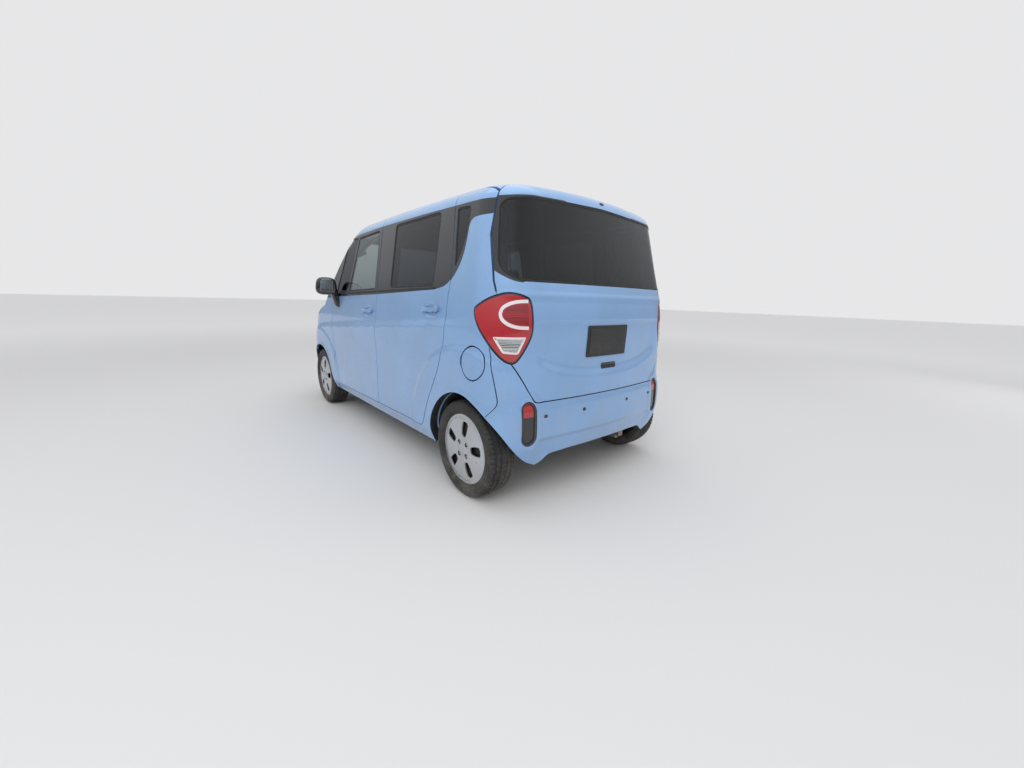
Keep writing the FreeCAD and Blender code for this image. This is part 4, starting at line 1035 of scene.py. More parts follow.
def gate_side(outward, seam_y):
    """The tailgate's side seam from the lamp up to the roof seam at seam_y."""
    line = resample([(0.722, 1.15), (0.722, 1.195), (0.677, 1.57), (0.64, 1.69)], 0.008, False)
    points = end_points(line + [outward, 0.0])
    keep = points[:, 1] > seam_y + 0.006
    return chart_of(points[keep])


LAMP_TOP = from_end([(0.722, 1.13)])[0]
print("lamp outline:", len(LAMP), "points, top", np.round(LAMP_TOP, 3))


# %% [markdown]
# ### Body side
# On the car the quarter panel and the sill are one pressing. It ends at the seams of the doors,
# the lamp, the tailgate and the bumper, and holds the quarter window and the filler.

# %% Body side
BUMPER_SEAM = [(1.6205, 0.519), (1.6675, 0.585), (1.6075, 0.88)]


def sill_top(y):
    """The lower edge of the doors, which climbs a little to the rear."""
    ahead = DOOR_LOW - CAD_GAP + 0.0154 * min(1, (y - FRONT_Y) / 0.98)
    return ahead + 0.0066 * max(0, (y - SPLIT_Y) / 0.673)


def quarter_line():
    """Quarter panel with the sill under the doors, gate and lamp seams behind."""
    back = np.array(moved(BACK_EDGE, CAD_GAP))
    seam = side_run([tuple(p) for p in back[::-1]], 0.06)
    under = from_side([(y, sill_top(y)) for y in np.linspace(ARCH_FRONT - 0.118, FRONT_Y + 0.001, 60)])
    sill = from_side([(y, SILL) for y in np.linspace(FRONT_Y + 0.001, REAR_AXLE - 0.3205, 60)])
    arch = arch_run(REAR_AXLE, 189.5, 47.8)
    bumper = side_run(BUMPER_SEAM, 0.03)
    lamp = two_ways(LAMP_HOLE, bumper[-1], LAMP_TOP)[0]
    gate = gate_side(0.0052, GATE_Y - CAD_GAP)
    top = top_run(GATE_Y - CAD_GAP, REAR_Y - 0.055, 0.645)
    return np.vstack([seam[:-1], under, sill, arch, bumper[1:-1], lamp, gate, top])


FLAP_Y, FLAP_Z, FLAP_RADIUS = 1.5105, 0.781, 0.0915


def from_axle(uv, axle):
    """Distance of chart points from an axle, seen from the side."""
    at = lay_side(uv)[0]
    return np.hypot(at[:, 1] - axle, at[:, 2] - AXLE_Z)


def arch_dark(uv):
    """Black on the return of the rear arch, paint on the other edges."""
    return np.where(from_axle(uv, REAR_AXLE) < ARCH_RADIUS + 0.012, 3, 0)


def quarter_panel(name, holes):
    return panel(name, quarter_line(), PAINTED, lay_side, holes=holes, thick=0.05, lines=BAND_LINES,
        kind=band_kind, inner=2, wall=arch_dark)


quarter_window = from_side(rounded(WINDOW_QUARTER, 0.02))
flap_edge = np.array(circle(FLAP_Y, FLAP_Z, FLAP_RADIUS, 120))
room = np.clip(1.4 - 1.4 * ((flap_edge[:, 1] - FLAP_Z) / 0.034) ** 2, 0, 1) * (flap_edge[:, 0] < FLAP_Y)
flap_edge[:, 0] -= 0.0072 * room  # lets the hinged edge of the flap swing in
flap_hole = from_side(flap_edge)
show(quarter_panel("body_side_left_quarter", [quarter_window, flap_hole]))

# %% [markdown]
# ### Windscreen pillar
# A slim pressing between windscreen and front door. It is black, so that glass and door
# windows read as one band round the cabin.

# %% Windscreen pillar
def pillar_line():
    """The black pillar between windscreen and front door, columns x, z along the glass."""
    glass_edge = resample([(0.694, 1.062), (0.6145, 1.56)], 0.012, False)
    ahead = from_top([(x, screen_y(x, z)) for x, z in glass_edge])
    over = from_top([(0.64, screen_y(0.614, 1.56) + 0.005), (0.64, FRONT_Y + 0.322)])
    door_side = side_run(moved(FRONT_EDGE[:3], -CAD_GAP), 0.05)
    foot = from_side([(FRONT_Y - 0.047, 1.074)])
    return np.vstack([ahead, over, door_side[:-1], foot])


show(panel("body_side_left_pillar", pillar_line(), ["gloss", "black"], lay_side, thick=0.045))

# %% [markdown]
# ### Tailgate
# One pressed lid whose outline is a mirrored half, so that both seams match. The black border
# round its glass is a mask on the skin, since it is a coat on the real panel and no part.

# %% Tailgate
def both_sides(half_line):
    """A rear or front outline whose half runs from the lower middle round to the upper middle."""
    left = np.array(half_line)
    right = left[::-1] * np.array([-1.0, 1.0])
    return np.vstack([left, right])


def gate_line():
    low = from_end([(x, 0.59) for x in np.linspace(0.004, 0.52, 40)])
    corner = from_end(rounded([(0.52, 0.59), (0.555, 0.59), (0.6, 0.664)], 0.03, closed=False))
    rise = from_end(resample([(0.6, 0.664), (0.682, 0.793)], 0.01, False))
    lamp = min(two_ways(LAMP_HOLE, rise[-1], LAMP_TOP), key=lambda line: line[:, 0].min())
    side = gate_side(0.0, GATE_Y)
    top = from_top([(x, GATE_Y) for x in np.linspace(0.64, 0.004, 60)])
    return both_sides(np.vstack([low, corner[1:-1], rise, lamp, side, top]))


def both_ends(points):
    """A closed rear outline from its left half, given as x, z from the lower middle."""
    return both_sides(from_end(resample(points, 0.01, False)))


GATE_GLASS = both_ends(rounded([(0.003, 1.197), (0.64, 1.197), (0.694, 1.24), (0.7, 1.285), (0.655, 1.56),
    (0.63, 1.59), (0.52, 1.606), (0.003, 1.619)], 0.03, closed=False))
GATE_BLACK = both_ends(rounded([(0.002, 1.19), (0.655, 1.19), (0.716, 1.235), (0.74, 1.3), (0.74, 1.596),
    (0.52, 1.614), (0.002, 1.627)], 0.035, closed=False))


def gate_kind(uv):
    return inside(uv, GATE_BLACK).astype(int)


show(panel("tailgate_skin", gate_line(), PAINTED, lay_rear, holes=[GATE_GLASS], thick=0.022,
    lines=[closed(GATE_BLACK)], kind=gate_kind, inner=0))

# %% [markdown]
# ### Rear bumper
# A moulded cover that reaches from wheel arch to wheel arch. Its upright lamps sit in openings
# with round ends, so the cover has two holes and the lamps are pieces of their own.

# %% Rear bumper
def rear_bumper_line():
    low = from_end(open_run([(0.004, 0.292), (0.3, 0.29), (0.44, 0.284), (0.505, 0.234), (0.58, 0.23),
        (0.76, 0.23)], 0.03, 0.012))
    arch = arch_run(REAR_AXLE, -8.5, 47.8)
    low = low[low[:, 0] < arch[0, 0] - 0.006]
    seam = side_run(moved(BUMPER_SEAM, 0.003), 0.03)
    rise = from_end(resample([(0.607, 0.664), (0.688, 0.793)], 0.01, False))
    lamp = min(two_ways(LAMP_HOLE, seam[-1], rise[-1]), key=len)
    corner = from_end(rounded([(0.607, 0.664), (0.559, 0.585), (0.52, 0.585)], 0.03, closed=False))
    top = from_end([(x, 0.585) for x in np.linspace(0.52, 0.004, 40)])
    return both_sides(np.vstack([low, arch, seam[1:-1], lamp, rise[::-1], corner[1:-1], top]))


def stadium(grow):
    """Upright lamp with round ends, columns x, z."""
    half, top, bottom, x = 0.046 + grow, 0.552, 0.408, 0.597
    arc = np.radians(np.linspace(0, 180, 16))
    up = [(x + half * math.cos(a), top + half * math.sin(a)) for a in arc]
    down = [(x - half * math.cos(a), bottom - half * math.sin(a)) for a in arc]
    return up + down


lamp_left = from_end(resample(stadium(0.0), 0.008, True))
lamp_right = lamp_left[::-1] * np.array([-1.0, 1.0])
show(panel("rear_bumper_skin", rear_bumper_line(), ["paint", "black"], lay_rear,
    holes=[lamp_left, lamp_right], thick=0.03, inner=1))

# %% [markdown]
# ### Front end
# The front bumper holds the lower grille and the fog lamps, and the fender ends at the head
# lamp. Nothing of it shows in the photo, so its lines follow what cars of this type have.

# %% Front end: seams in end view (x, z) and side view (y, z)
def flip_front(line):
    """Chart t to run from the front middle."""
    return np.column_stack([T_MAX - line[:, 0], line[:, 1]])


def from_front(line):
    """Line of points x, z seen from the front, run from the front middle."""
    return flip_front(from_end(line, -1))


# Columns: run from the front middle, and up the chart.
HEAD_LAMP = ring_of(smooth_loop(np.array([
    (0.44, 0.75), (0.442, 0.695), (0.475, 0.663), (0.56, 0.66), (0.66, 0.67), (0.735, 0.694),
    (0.795, 0.734), (0.842, 0.782), (0.862, 0.818), (0.845, 0.843), (0.795, 0.848), (0.74, 0.838),
    (0.695, 0.812), (0.655, 0.794), (0.6, 0.787), (0.52, 0.784), (0.462, 0.778)])), 0.009)
print("head lamp outline:", len(HEAD_LAMP), "points")


def front_bumper_line():
    low = from_end([(x, 0.215 + 0.01 * (x / 0.6) ** 2) for x in np.linspace(0.004, 0.6, 50)], -1)
    turn = from_side([(y, 0.225) for y in np.linspace(-1.58, -1.4395, 14)])
    arch = arch_run(FRONT_AXLE, 188.0, 130.5)
    seam = side_run([(-1.3325, 0.527), (-1.4075, 0.645)], 0.02)
    rim = from_side([(y, 0.645) for y in np.linspace(-1.415, -1.6, 20)])
    top = from_end([(x, 0.645) for x in np.linspace(0.62, 0.004, 60)], -1)
    return both_sides(flip_front(np.vstack([low, turn, arch, seam[1:], rim, top])))


LOWER_GRILLE = both_sides(from_front(open_run([
    (0.003, 0.335), (0.37, 0.335), (0.43, 0.48), (0.003, 0.48)], 0.03)))
FOG_HOLE = from_front(resample(rounded([
    (0.52, 0.37), (0.64, 0.39), (0.65, 0.48), (0.56, 0.48)], 0.03), 0.009, True))
show(panel("front_bumper_skin", front_bumper_line(), ["paint", "black"], lay_front,
    holes=[LOWER_GRILLE, FOG_HOLE, FOG_HOLE * np.array([-1.0, 1.0])], thick=0.03, inner=1))

# %% Front fenders
HEAD_HOLE = ring_of(shifted(HEAD_LAMP, -GAP), 0.008)
HOOD_HALF, HOOD_BACK, HOOD_LOW = 0.6, NOSE + 0.649, 0.815


def fender_line():
    seam = side_run([(FRONT_Y - 0.005, SILL), (FRONT_Y - 0.017, 0.8), (FRONT_Y - 0.047, 1.068)], 0.05)
    foot = from_side([(y, 1.068) for y in np.linspace(FRONT_Y - 0.055, -0.93, 14)])
    screen = from_top([(x, screen_y(x, 1.0575)) for x in np.linspace(0.69, 0.6055, 10)])
    hood = flip_front(from_top([(0.6055, y) for y in np.linspace(-1.02, -1.52, 40)]))
    low = from_front(resample([(0.6055, 0.8105), (0.4345, 0.8105)], 0.01, False))
    hood = hood[hood[:, 0] > low[0, 0]]
    under = np.array([0.615, 0.662])
    lamp = max(two_ways(HEAD_HOLE, low[-1], under), key=lambda line: line[:, 0].max())
    end = flip_front(from_side([(-1.4125, 0.6495)]))[0, 0]
    rim = [(u, 0.6495) for u in np.linspace(0.622, end, 30)]
    edge = side_run([(-1.4105, 0.6475), (-1.3375, 0.53)], 0.02)
    arch = arch_run(FRONT_AXLE, 130.0, -9.4)
    behind, below = flip_front(np.vstack([seam, foot, screen])), flip_front(np.vstack([edge, arch]))
    return np.vstack([behind, hood, low, lamp, rim, below])


show(panel("front_fender_left", fender_line(), ["paint", "black"], lay_front, thick=0.018, inner=1, wall=0))

# %% [markdown]
# ### Hood, cowl and roof
# These are laid on the form straight from above, where the chart of the walls would stretch.
# The cowl is a plastic cover with slats for the air intake under the wipers.

# %% Hood, cowl and roof, laid from above
def hood_line():
    front = end_points([(x, HOOD_LOW) for x in np.linspace(-HOOD_HALF, HOOD_HALF, 90)], -1)[:, :2]
    back = np.array([(x, HOOD_BACK) for x in np.linspace(HOOD_HALF, -HOOD_HALF, 60)])
    right = np.array([(HOOD_HALF, y) for y in np.arange(front[-1, 1] + 0.01, HOOD_BACK, 0.01)])
    return np.vstack([front, right, back, (right * [-1, 1])[::-1]])


def cowl_line():
    ahead = [(x, HOOD_BACK + CAD_GAP) for x in np.linspace(-0.604, 0.604, 60)]
    behind = [(x, screen_y(x, 1.0575)) for x in np.linspace(0.604, -0.604, 60)]
    return np.array(ahead + behind)


def roof_line():
    low = [(x, screen_y(x, 1.5795)) for x in np.linspace(-0.52, 0.52, 50)]
    corner = [(0.6, float(screen_y(0.6, 1.575))), (0.635, float(screen_y(0.614, 1.56)) + 0.012)]
    high = [(x, GATE_Y - CAD_GAP) for x in np.linspace(0.635, -0.635, 60)]
    half = rounded([low[-1]] + corner + [(0.635, GATE_Y - CAD_GAP)], 0.02, closed=False)
    return np.vstack([low[:-1], half[:-1], high, (half * [-1, 1])[::-1][1:]])


def cowl_kind(uv):
    slats = np.abs(((uv[:, 0] + 0.6) / 0.024) % 1 - 0.5) < 0.25
    back = screen_y(uv[:, 0], 1.0575) - uv[:, 1]
    return (slats & (back > 0.025) & (back < 0.075)).astype(int)


hood = panel("hood_skin", hood_line(), ["paint", "steel"], lay_top, thick=0.02, inner=0)
cowl = panel("cowl_cover", cowl_line(), ["black", "liner"], lay_top, thick=0.014, top=0.004, kind=cowl_kind,
    inner=0, spacing=0.008)
roof = panel("roof_skin", roof_line(), ["paint", "pale"], lay_top, thick=0.024, inner=1, wall=0,
    spacing=0.022)
show(hood, cowl, roof)

# %% [markdown]
# ## Glass
# Each pane is its own sheet on the same form, a few millimetres under the skin. The windscreen
# has the black ceramic border that hides its glue. The rear panes are privacy glass, dark from
# outside, with the seats just visible behind.

# %% Windscreen
def screen_line():
    low = [(x, screen_y(x, 1.0625)) for x in np.linspace(-0.688, 0.688, 70)]
    side = [(x, screen_y(x, z)) for x, z in resample([(0.69, 1.0625), (0.612, 1.555)], 0.012, False)[1:]]
    high = [(x, screen_y(x, 1.5745)) for x in np.linspace(0.56, -0.56, 50)]
    return np.vstack([low, side, high, (np.array(side) * [-1, 1])[::-1]])


SCREEN = ring_of(screen_line())
FRIT = shifted(SCREEN, 0.034)


def frit_kind(uv):
    return (~inside(uv, FRIT)).astype(int)


panel("windscreen_glass", SCREEN, ["screen", "gloss"], lay_top, thick=0.006, top=0.004,
    lines=[closed(FRIT)], kind=frit_kind, inner=0, wall=1, edge=0.0015, spacing=0.02)


def pane(name, outline, look, lay_on, top=0.004):
    """A sheet of glass in an opening."""
    ring = shifted(ring_of(outline), 0.0015)
    plain(name, ring, look, lay_on, thick=0.005, top=top, edge=0.001, spacing=0.022)


def seal(name, outline, lay_on, width=0.011, top=0.0015):
    """A rubber ring just inside an opening."""
    ring = ring_of(outline)
    return plain(name, shifted(ring, 0.0004), "rubber", lay_on, holes=[shifted(ring, width)], thick=0.011,
        top=top, edge=0.002, spacing=0.05)


AHEAD = [(-0.6105, 1.116), (-0.325, 1.126), (-0.205, 1.5625), (-0.3955, 1.562), (-0.4335, 1.535)]
MAIN = [(-0.305, 1.127), (0.2445, 1.146), (0.2165, 1.564), (-0.18, 1.563)]
BAR = [(-0.327, 1.118), (-0.303, 1.118), (-0.179, 1.566), (-0.207, 1.566)]
pane("front_door_left_pane", from_side(rounded(MAIN, 0.02)), "clear", lay_side)
pane("front_door_left_pane_ahead", from_side(rounded(AHEAD, 0.02)), "dark", lay_side)
plain("front_door_left_bar", from_side(resample(BAR, 0.01, True)), "gloss", lay_side, thick=0.02,
    top=0.0005, spacing=0.03)
pane("rear_door_left_pane", from_side(rounded(WINDOW_REAR, 0.03)), "dark", lay_side)
pane("quarter_pane_left", quarter_window, "dark", lay_side)
pane("tailgate_pane", GATE_GLASS, "dark", lay_rear, top=0.003)
seal("front_door_left_seal", from_side(rounded(WINDOW_FRONT, 0.03)), lay_side)
seal("rear_door_left_seal", from_side(rounded(WINDOW_REAR, 0.03)), lay_side)
seal("quarter_seal_left", quarter_window, lay_side, 0.008)
seal("tailgate_seal", GATE_GLASS, lay_rear, 0.008, 0.001)

# %% [markdown]
# ### Door fittings
# Belt strips, pull handles on two feet and the fuel flap are small shells on the same skin,
# some proud of it and some below. The filler's pocket and cap lie under the flap.

# %% Strips, handles and flap
def strip(name, start, end, look, half=0.007, proud=0.003, thick=0.007):
    """A narrow strip on the side skin between two points y, z."""
    (y0, z0), (y1, z1) = start, end
    bar_line = rounded([(y0, z0 - half), (y1, z1 - half), (y1, z1 + half), (y0, z0 + half)], half * 0.9)
    return plain(name, from_side(resample(bar_line, 0.008, True)), look, lay_side, thick=thick, top=-proud,
        edge=0.002, spacing=0.02)


strip("front_door_left_belt", (-0.655, 1.103), (0.262, 1.131), "rubber")
strip("rear_door_left_belt", (0.3, 1.133), (1.1, 1.157), "rubber")


def handle(name, y0, y1, z0, z1):
    """A pull handle: a bar on two feet, in body colour."""
    half, run = 0.016, y1 - y0
    slope = (z1 - z0) / run
    grip = rounded([(y0, z0 - half), (y1, z1 - half), (y1, z1 + half), (y0, z0 + half)], 0.012)
    plain(name, from_side(grip), "paint", lay_side, thick=0.012, top=-0.022, edge=0.005, spacing=0.01)
    for k, y in enumerate((y0 + 0.016, y1 - 0.02)):
        z = z0 + slope * (y - y0)
        foot = from_side(rounded([(y - 0.013, z - 0.01), (y + 0.015, z - 0.01), (y + 0.015, z + 0.01),
            (y - 0.013, z + 0.01)], 0.008))
        plain(name + "_foot%d" % k, foot, "paint", lay_side, thick=0.016, top=-0.012, spacing=0.02)


handle("front_door_left_handle", 0.04, 0.23, 0.985, 0.992)
handle("rear_door_left_handle", 0.985, 1.17, 1.032, 1.04)
panel("fuel_flap_skin", from_side(circle(FLAP_Y + 0.002, FLAP_Z, 0.085)), ["paint", "black"], lay_side,
    thick=0.007, inner=1, wall=0, edge=0.0042)
plain("fuel_pocket", from_side(circle(FLAP_Y, FLAP_Z, FLAP_RADIUS + 0.001)), "black", lay_side, thick=0.004,
    top=0.018)
plain("fuel_cap", from_side(circle(FLAP_Y + 0.01, FLAP_Z, 0.032, 36)), "black", lay_side, thick=0.012,
    top=0.0105, edge=0.004)
print("door fittings ready")

# %% [markdown]
# ## Lamps
# The tail lamp is a red housing that wraps the corner, with a black rim, a pale C-shaped light
# bar that opens to the middle, and a clear reversing section below it. The bar and the clear
# section stand a little proud of the red, as moulded lenses do.

# %% Tail lamps
LAMP_RIM = shifted(LAMP, 0.007)


def stroke(points, width):
    """The outline of a bar of that width along a chart line."""
    line = open_run(points, 0.03, 0.006)
    way = np.gradient(line, axis=0)
    way /= lengths(way)[:, None]
    across = np.column_stack([-way[:, 1], way[:, 0]]) * width / 2
    return np.vstack([line + across, (line - across)[::-1]])


def lamp_kind(uv):
    return np.where(inside(uv, LAMP_RIM), 0, 1)


def rib_kind(uv):
    return ((uv[:, 1] / 0.0075) % 1 < 0.35).astype(int)


# Columns: place on the chart, round the corner and up.
C_LINE = np.array([(0.606, 1.101), (0.655, 1.099), (0.7, 1.088), (0.735, 1.068), (0.747, 1.038),
    (0.735, 1.008), (0.7, 0.984), (0.655, 0.973), (0.606, 0.972)])
INNER_C = np.array([(0.606, 1.087), (0.652, 1.085), (0.694, 1.075), (0.722, 1.058), (0.731, 1.038),
    (0.722, 1.016), (0.694, 0.998), (0.652, 0.988), (0.606, 0.987)])
REVERSE = rounded([(0.78, 0.926), (0.616, 0.928), (0.654, 0.842), (0.728, 0.846)], 0.01)
lamp = panel("tail_lamp_left", LAMP, ["red", "gloss"], lay_side, thick=0.022, kind=lamp_kind,
    lines=[closed(LAMP_RIM)], inner=1, spacing=0.01)
plain("tail_lamp_left_bar", stroke(C_LINE, 0.017), "light_bar", lay_side, thick=0.004, top=-0.003,
    edge=0.0015, spacing=0.008)
panel("tail_lamp_left_core", INNER_C, ["deep_red", "red"], lay_side, thick=0.003, top=-0.001, kind=rib_kind,
    inner=0, edge=0.0012, spacing=0.004)
plain("tail_lamp_left_border", REVERSE, "light_bar", lay_side, thick=0.003, top=-0.0015, edge=0.001,
    spacing=0.01)
panel("tail_lamp_left_reverse", shifted(ring_of(REVERSE, 0.006), 0.011), ["reflector", "gloss"], lay_side,
    thick=0.002, top=-0.003, kind=rib_kind, inner=0, edge=0.0008, spacing=0.004)
print("tail lamp:", len(lamp.data.polygons), "faces")


# %% Upright lamps in the rear bumper, parking sensors
def low_lamp_kind(uv):
    return np.where(uv[:, 1] > 0.515, 0, 1)


STADIUM = from_end(resample(stadium(-0.0008), 0.006, True))
LENS = from_end(resample(stadium(-0.011), 0.005, True))
plain("bumper_lamp_left_rim", STADIUM, "black", lay_side, holes=[LENS], thick=0.022, top=0.002, edge=0.003,
    spacing=0.02)
panel("bumper_lamp_left", LENS, ["red", "gloss"], lay_side, thick=0.006, top=0.01, kind=low_lamp_kind,
    inner=1, spacing=0.006)


def sensor(name, x, z):
    plain(name, from_end(circle(x, z, 0.014, 24, 0.01)), "black", lay_side, thick=0.004, top=-0.0006,
        edge=0.001, spacing=0.01)


for k, x in enumerate((0.494, 0.208)):
    sensor("bumper_sensor_%d" % k, x, 0.512)
print("bumper lamps ready")


# %% Head lamps: bowl, lens, round projector and light strip
def lamp_bowl_kind(uv):
    return np.where(inside(uv, shifted(HEAD_LAMP, 0.012)), 0, 1)


panel("head_lamp_left_bowl", shifted(HEAD_LAMP, 0.002), ["reflector", "gloss"], lay_front, thick=0.012,
    top=0.034, kind=lamp_bowl_kind, inner=1)
plain("head_lamp_left_frame", HEAD_LAMP, "gloss", lay_front, holes=[shifted(HEAD_LAMP, 0.007)], thick=0.036,
    top=0.002, spacing=0.05)
plain("head_lamp_left_lens", shifted(HEAD_LAMP, 0.0005), "lens", lay_front, thick=0.003, edge=0.001)
EYE = from_front(circle(0.575, 0.728, 0.04, 40))
plain("head_lamp_left_eye", EYE, "gloss", lay_front, holes=[shifted(ring_of(EYE, 0.006), 0.008)],
    thick=0.022, top=0.01, spacing=0.02)
plain("head_lamp_left_ball", shifted(ring_of(EYE, 0.006), 0.01), "lens", lay_front, thick=0.012, top=0.014,
    edge=0.008, spacing=0.008)
STRIP = from_front([(0.47, 0.69), (0.5, 0.752), (0.62, 0.783)])
plain("head_lamp_left_strip", stroke(STRIP, 0.012), "light_bar", lay_front, thick=0.006, top=0.012,
    spacing=0.01)
FOG = shifted(ring_of(FOG_HOLE), 0.0008)
plain("fog_insert_left", FOG, "black", lay_front, thick=0.006, top=0.012)
FOG_EYE = from_front(circle(0.592, 0.43, 0.03, 32))
plain("fog_lamp_left", FOG_EYE, "reflector", lay_front, thick=0.01, top=0.004, edge=0.003, spacing=0.01)
print("head lamp ready")


# %% [markdown]
# ### Grilles
# Each is a dark panel set back in its opening with raised bars in front, black and gloss in
# turn. The upper one carries a body-coloured band along its top.

# %% Grilles: dark panels with raised bars
def two_sided(line, sign=1):
    """Line of points x, z seen from the rear, or front with sign -1, on both sides of the middle."""
    a = np.array(line, float)
    half = np.column_stack([np.abs(a[:, 0]), a[:, 1]])
    uv = from_end(half) if sign > 0 else from_front(half)
    return uv * np.column_stack([np.where(a[:, 0] < 0, -1.0, 1.0), np.ones(len(a))])


def grille(name, corners, bars, low_top):
    ring = ring_of(both_sides(from_front(open_run(corners, 0.012))))
    plain(name, shifted(ring, 0.001), "black", lay_front, thick=0.006, top=low_top, spacing=0.025)
    for k, (z, width) in enumerate(bars):
        xs = np.linspace(-width, width, 60)
        rows = [(x, z - 0.005) for x in xs] + [(x, z + 0.005) for x in xs[::-1]]
        look = "gloss" if k % 2 else "black"
        plain(name + "_bar%d" % k, two_sided(rows, -1), look, lay_front, thick=0.01, top=low_top - 0.01,
            spacing=0.03)


grille("upper_grille", [(0.003, 0.6505), (0.428, 0.6505), (0.428, 0.8085), (0.003, 0.8085)],
    [(0.668, 0.42), (0.69, 0.41), (0.712, 0.41), (0.734, 0.42)], 0.014)
UPPER_BAND = both_sides(from_front(open_run([(0.003, 0.752), (0.427, 0.752), (0.427, 0.8075),
    (0.003, 0.8075)], 0.01)))
panel("upper_grille_band", UPPER_BAND, ["paint", "black"], lay_front, thick=0.022, inner=1)
grille("lower_grille", [(0.003, 0.337), (0.37, 0.337), (0.428, 0.478), (0.003, 0.478)],
    [(0.36, 0.37), (0.385, 0.38), (0.41, 0.39), (0.435, 0.4), (0.46, 0.4)], 0.012)
print("grilles ready")

# %% [markdown]
# ## Inner frames
# Behind the doors the body side has its own frame: pillars, sill and roof rail with rounded
# openings. It shows when a door opens, so it is a second shell with the openings cut.

# %% Body-side frame and gate trim
FRONT_HOLE = [(-0.655, 0.325), (0.24, 0.34), (0.237, 1.11), (0.212, 1.6)]
FRONT_HOLE_UP = [(-0.425, 1.545), (-0.665, 1.16), (-0.7, 1.055), (-0.672, 0.8)]
REAR_HOLE = [(0.32, 0.34), (0.925, 0.345), (0.955, 0.375), (1.035, 0.53), (1.16, 0.745), (1.205, 0.9),
    (1.207, 1.12), (1.222, 1.21), (1.16, 1.59)]


def frame_hole(low, top, rise, count=20):
    """A door opening: lower line and rise as y, z, and the y at both ends of its top."""
    low, rise = (from_side(resample(line, 0.012, False)) for line in (low, rise))
    return np.vstack([low, from_top([(0.672, y) for y in np.linspace(*top, count)]), rise])


def frame_line():
    back = from_end(resample([(0.57, 0.62), (0.65, 0.8), (0.687, 1.15), (0.687, 1.2), (0.642, 1.57),
        (0.62, 1.62)], 0.012, False))
    top = top_run(1.5, -0.36, 0.565, 60)
    ahead = from_side(resample([(-0.47, 1.56), (-0.755, 1.06), (-0.755, 0.232)], 0.012, False))
    low = from_side([(y, 0.232) for y in np.linspace(-0.74, REAR_AXLE - 0.33, 60)])
    arch = arch_run(REAR_AXLE, 188.0, 45.0, 0.332)
    return np.vstack([back, top, ahead, low, arch])


FRAME_HOLES = [
    frame_hole(FRONT_HOLE, (0.205, -0.3), FRONT_HOLE_UP),
    frame_hole(REAR_HOLE, (1.14, 0.292), [(0.294, 1.59), (0.32, 1.11)])]


def frame_wall(uv):
    """Black on the returns over both wheels, paint round the doors."""
    nearest = np.minimum(from_axle(uv, REAR_AXLE), from_axle(uv, FRONT_AXLE))
    return np.where(nearest < ARCH_RADIUS + 0.08, 2, 0)


def side_frame(name, holes):
    """The inner shell, half a millimetre behind the panels of the body side."""
    return panel(name, frame_line(), ["paint", "trim", "black"], lay_side, holes=holes,
        top=DOOR_THICK + 0.0005, thick=0.04, inner=1, wall=frame_wall, edge=0.008, spacing=0.022)


frame_left = side_frame("body_side_left_frame", FRAME_HOLES + [quarter_window,
    shifted(ring_of(flap_hole), -0.006)])
GATE_INNER = both_ends(rounded([(0.003, 0.625), (0.5, 0.625), (0.54, 0.72), (0.548, 0.95), (0.553, 1.12),
    (0.65, 1.16), (0.668, 1.21), (0.64, 1.54), (0.6, 1.628), (0.003, 1.655)], 0.03, closed=False))
gate_trim = panel("tailgate_trim", GATE_INNER, ["trim", "black"], lay_rear,
    holes=[shifted(ring_of(GATE_GLASS), -0.003)], top=0.0225, thick=0.028, inner=0, edge=0.006,
    spacing=0.024)
show(frame_left, gate_trim)

# %% [markdown]
# ### Rear fittings
# The plate holder, its blank plate, the grip of the tailgate and the washer nozzle are small
# plates on the rear skin, placed by their middle and size.

# %% Plate holder and gate handle
def rear_patch(name, corners, look, top, thick, radius=0.008, edge=0.002):
    """A small part on the tailgate with its corners given as x, z."""
    uv = two_sided(resample(rounded(corners, radius), 0.008, True))
    plain(name, uv, look, lay_rear, thick=thick, top=top, edge=edge, spacing=0.02)


def box_corners(x, z, wide, tall):
    return [(x - wide / 2, z - tall / 2), (x + wide / 2, z - tall / 2), (x + wide / 2, z + tall / 2),
        (x - wide / 2, z + tall / 2)]


rear_patch("plate_holder", box_corners(0, 0.889, 0.368, 0.176), "plate", -0.006, 0.007)
rear_patch("plate_blank", box_corners(0, 0.889, 0.336, 0.144), "black", -0.0085, 0.003, 0.006, 0.001)
rear_patch("tailgate_handle", box_corners(-0.025, 0.742, 0.14, 0.036), "gloss", -0.003, 0.012, 0.012)
rear_patch("tailgate_washer", box_corners(-0.01, 1.652, 0.03, 0.012), "black", -0.004, 0.008, 0.005)
print("rear fittings ready")

# %% [markdown]
# ## Wheels and tyres
# The tyre is a turned profile whose tread is cut by four grooves round it and by sipes across
# its blocks. The wheel is a steel rim behind a silver cover, a shallow dome with five slots and
# four wheel-nut holes, drawn flat and laid on the dome like the body panels.

# %% Tyre
def faced(piece, fill_ends=False, sharp=None):
    """Turn all faces outward, close open ends if asked, and keep edges above an angle sharp."""
    mesh = bmesh.new()
    mesh.from_mesh(piece.data)
    if fill_ends:
        bmesh.ops.holes_fill(mesh, edges=[e for e in mesh.edges if e.is_boundary])
    bmesh.ops.recalc_face_normals(mesh, faces=mesh.faces)
    mesh.to_mesh(piece.data)
    mesh.free()
    if sharp:
        piece.data.set_sharp_from_angle(angle=math.radians(sharp))
    return piece


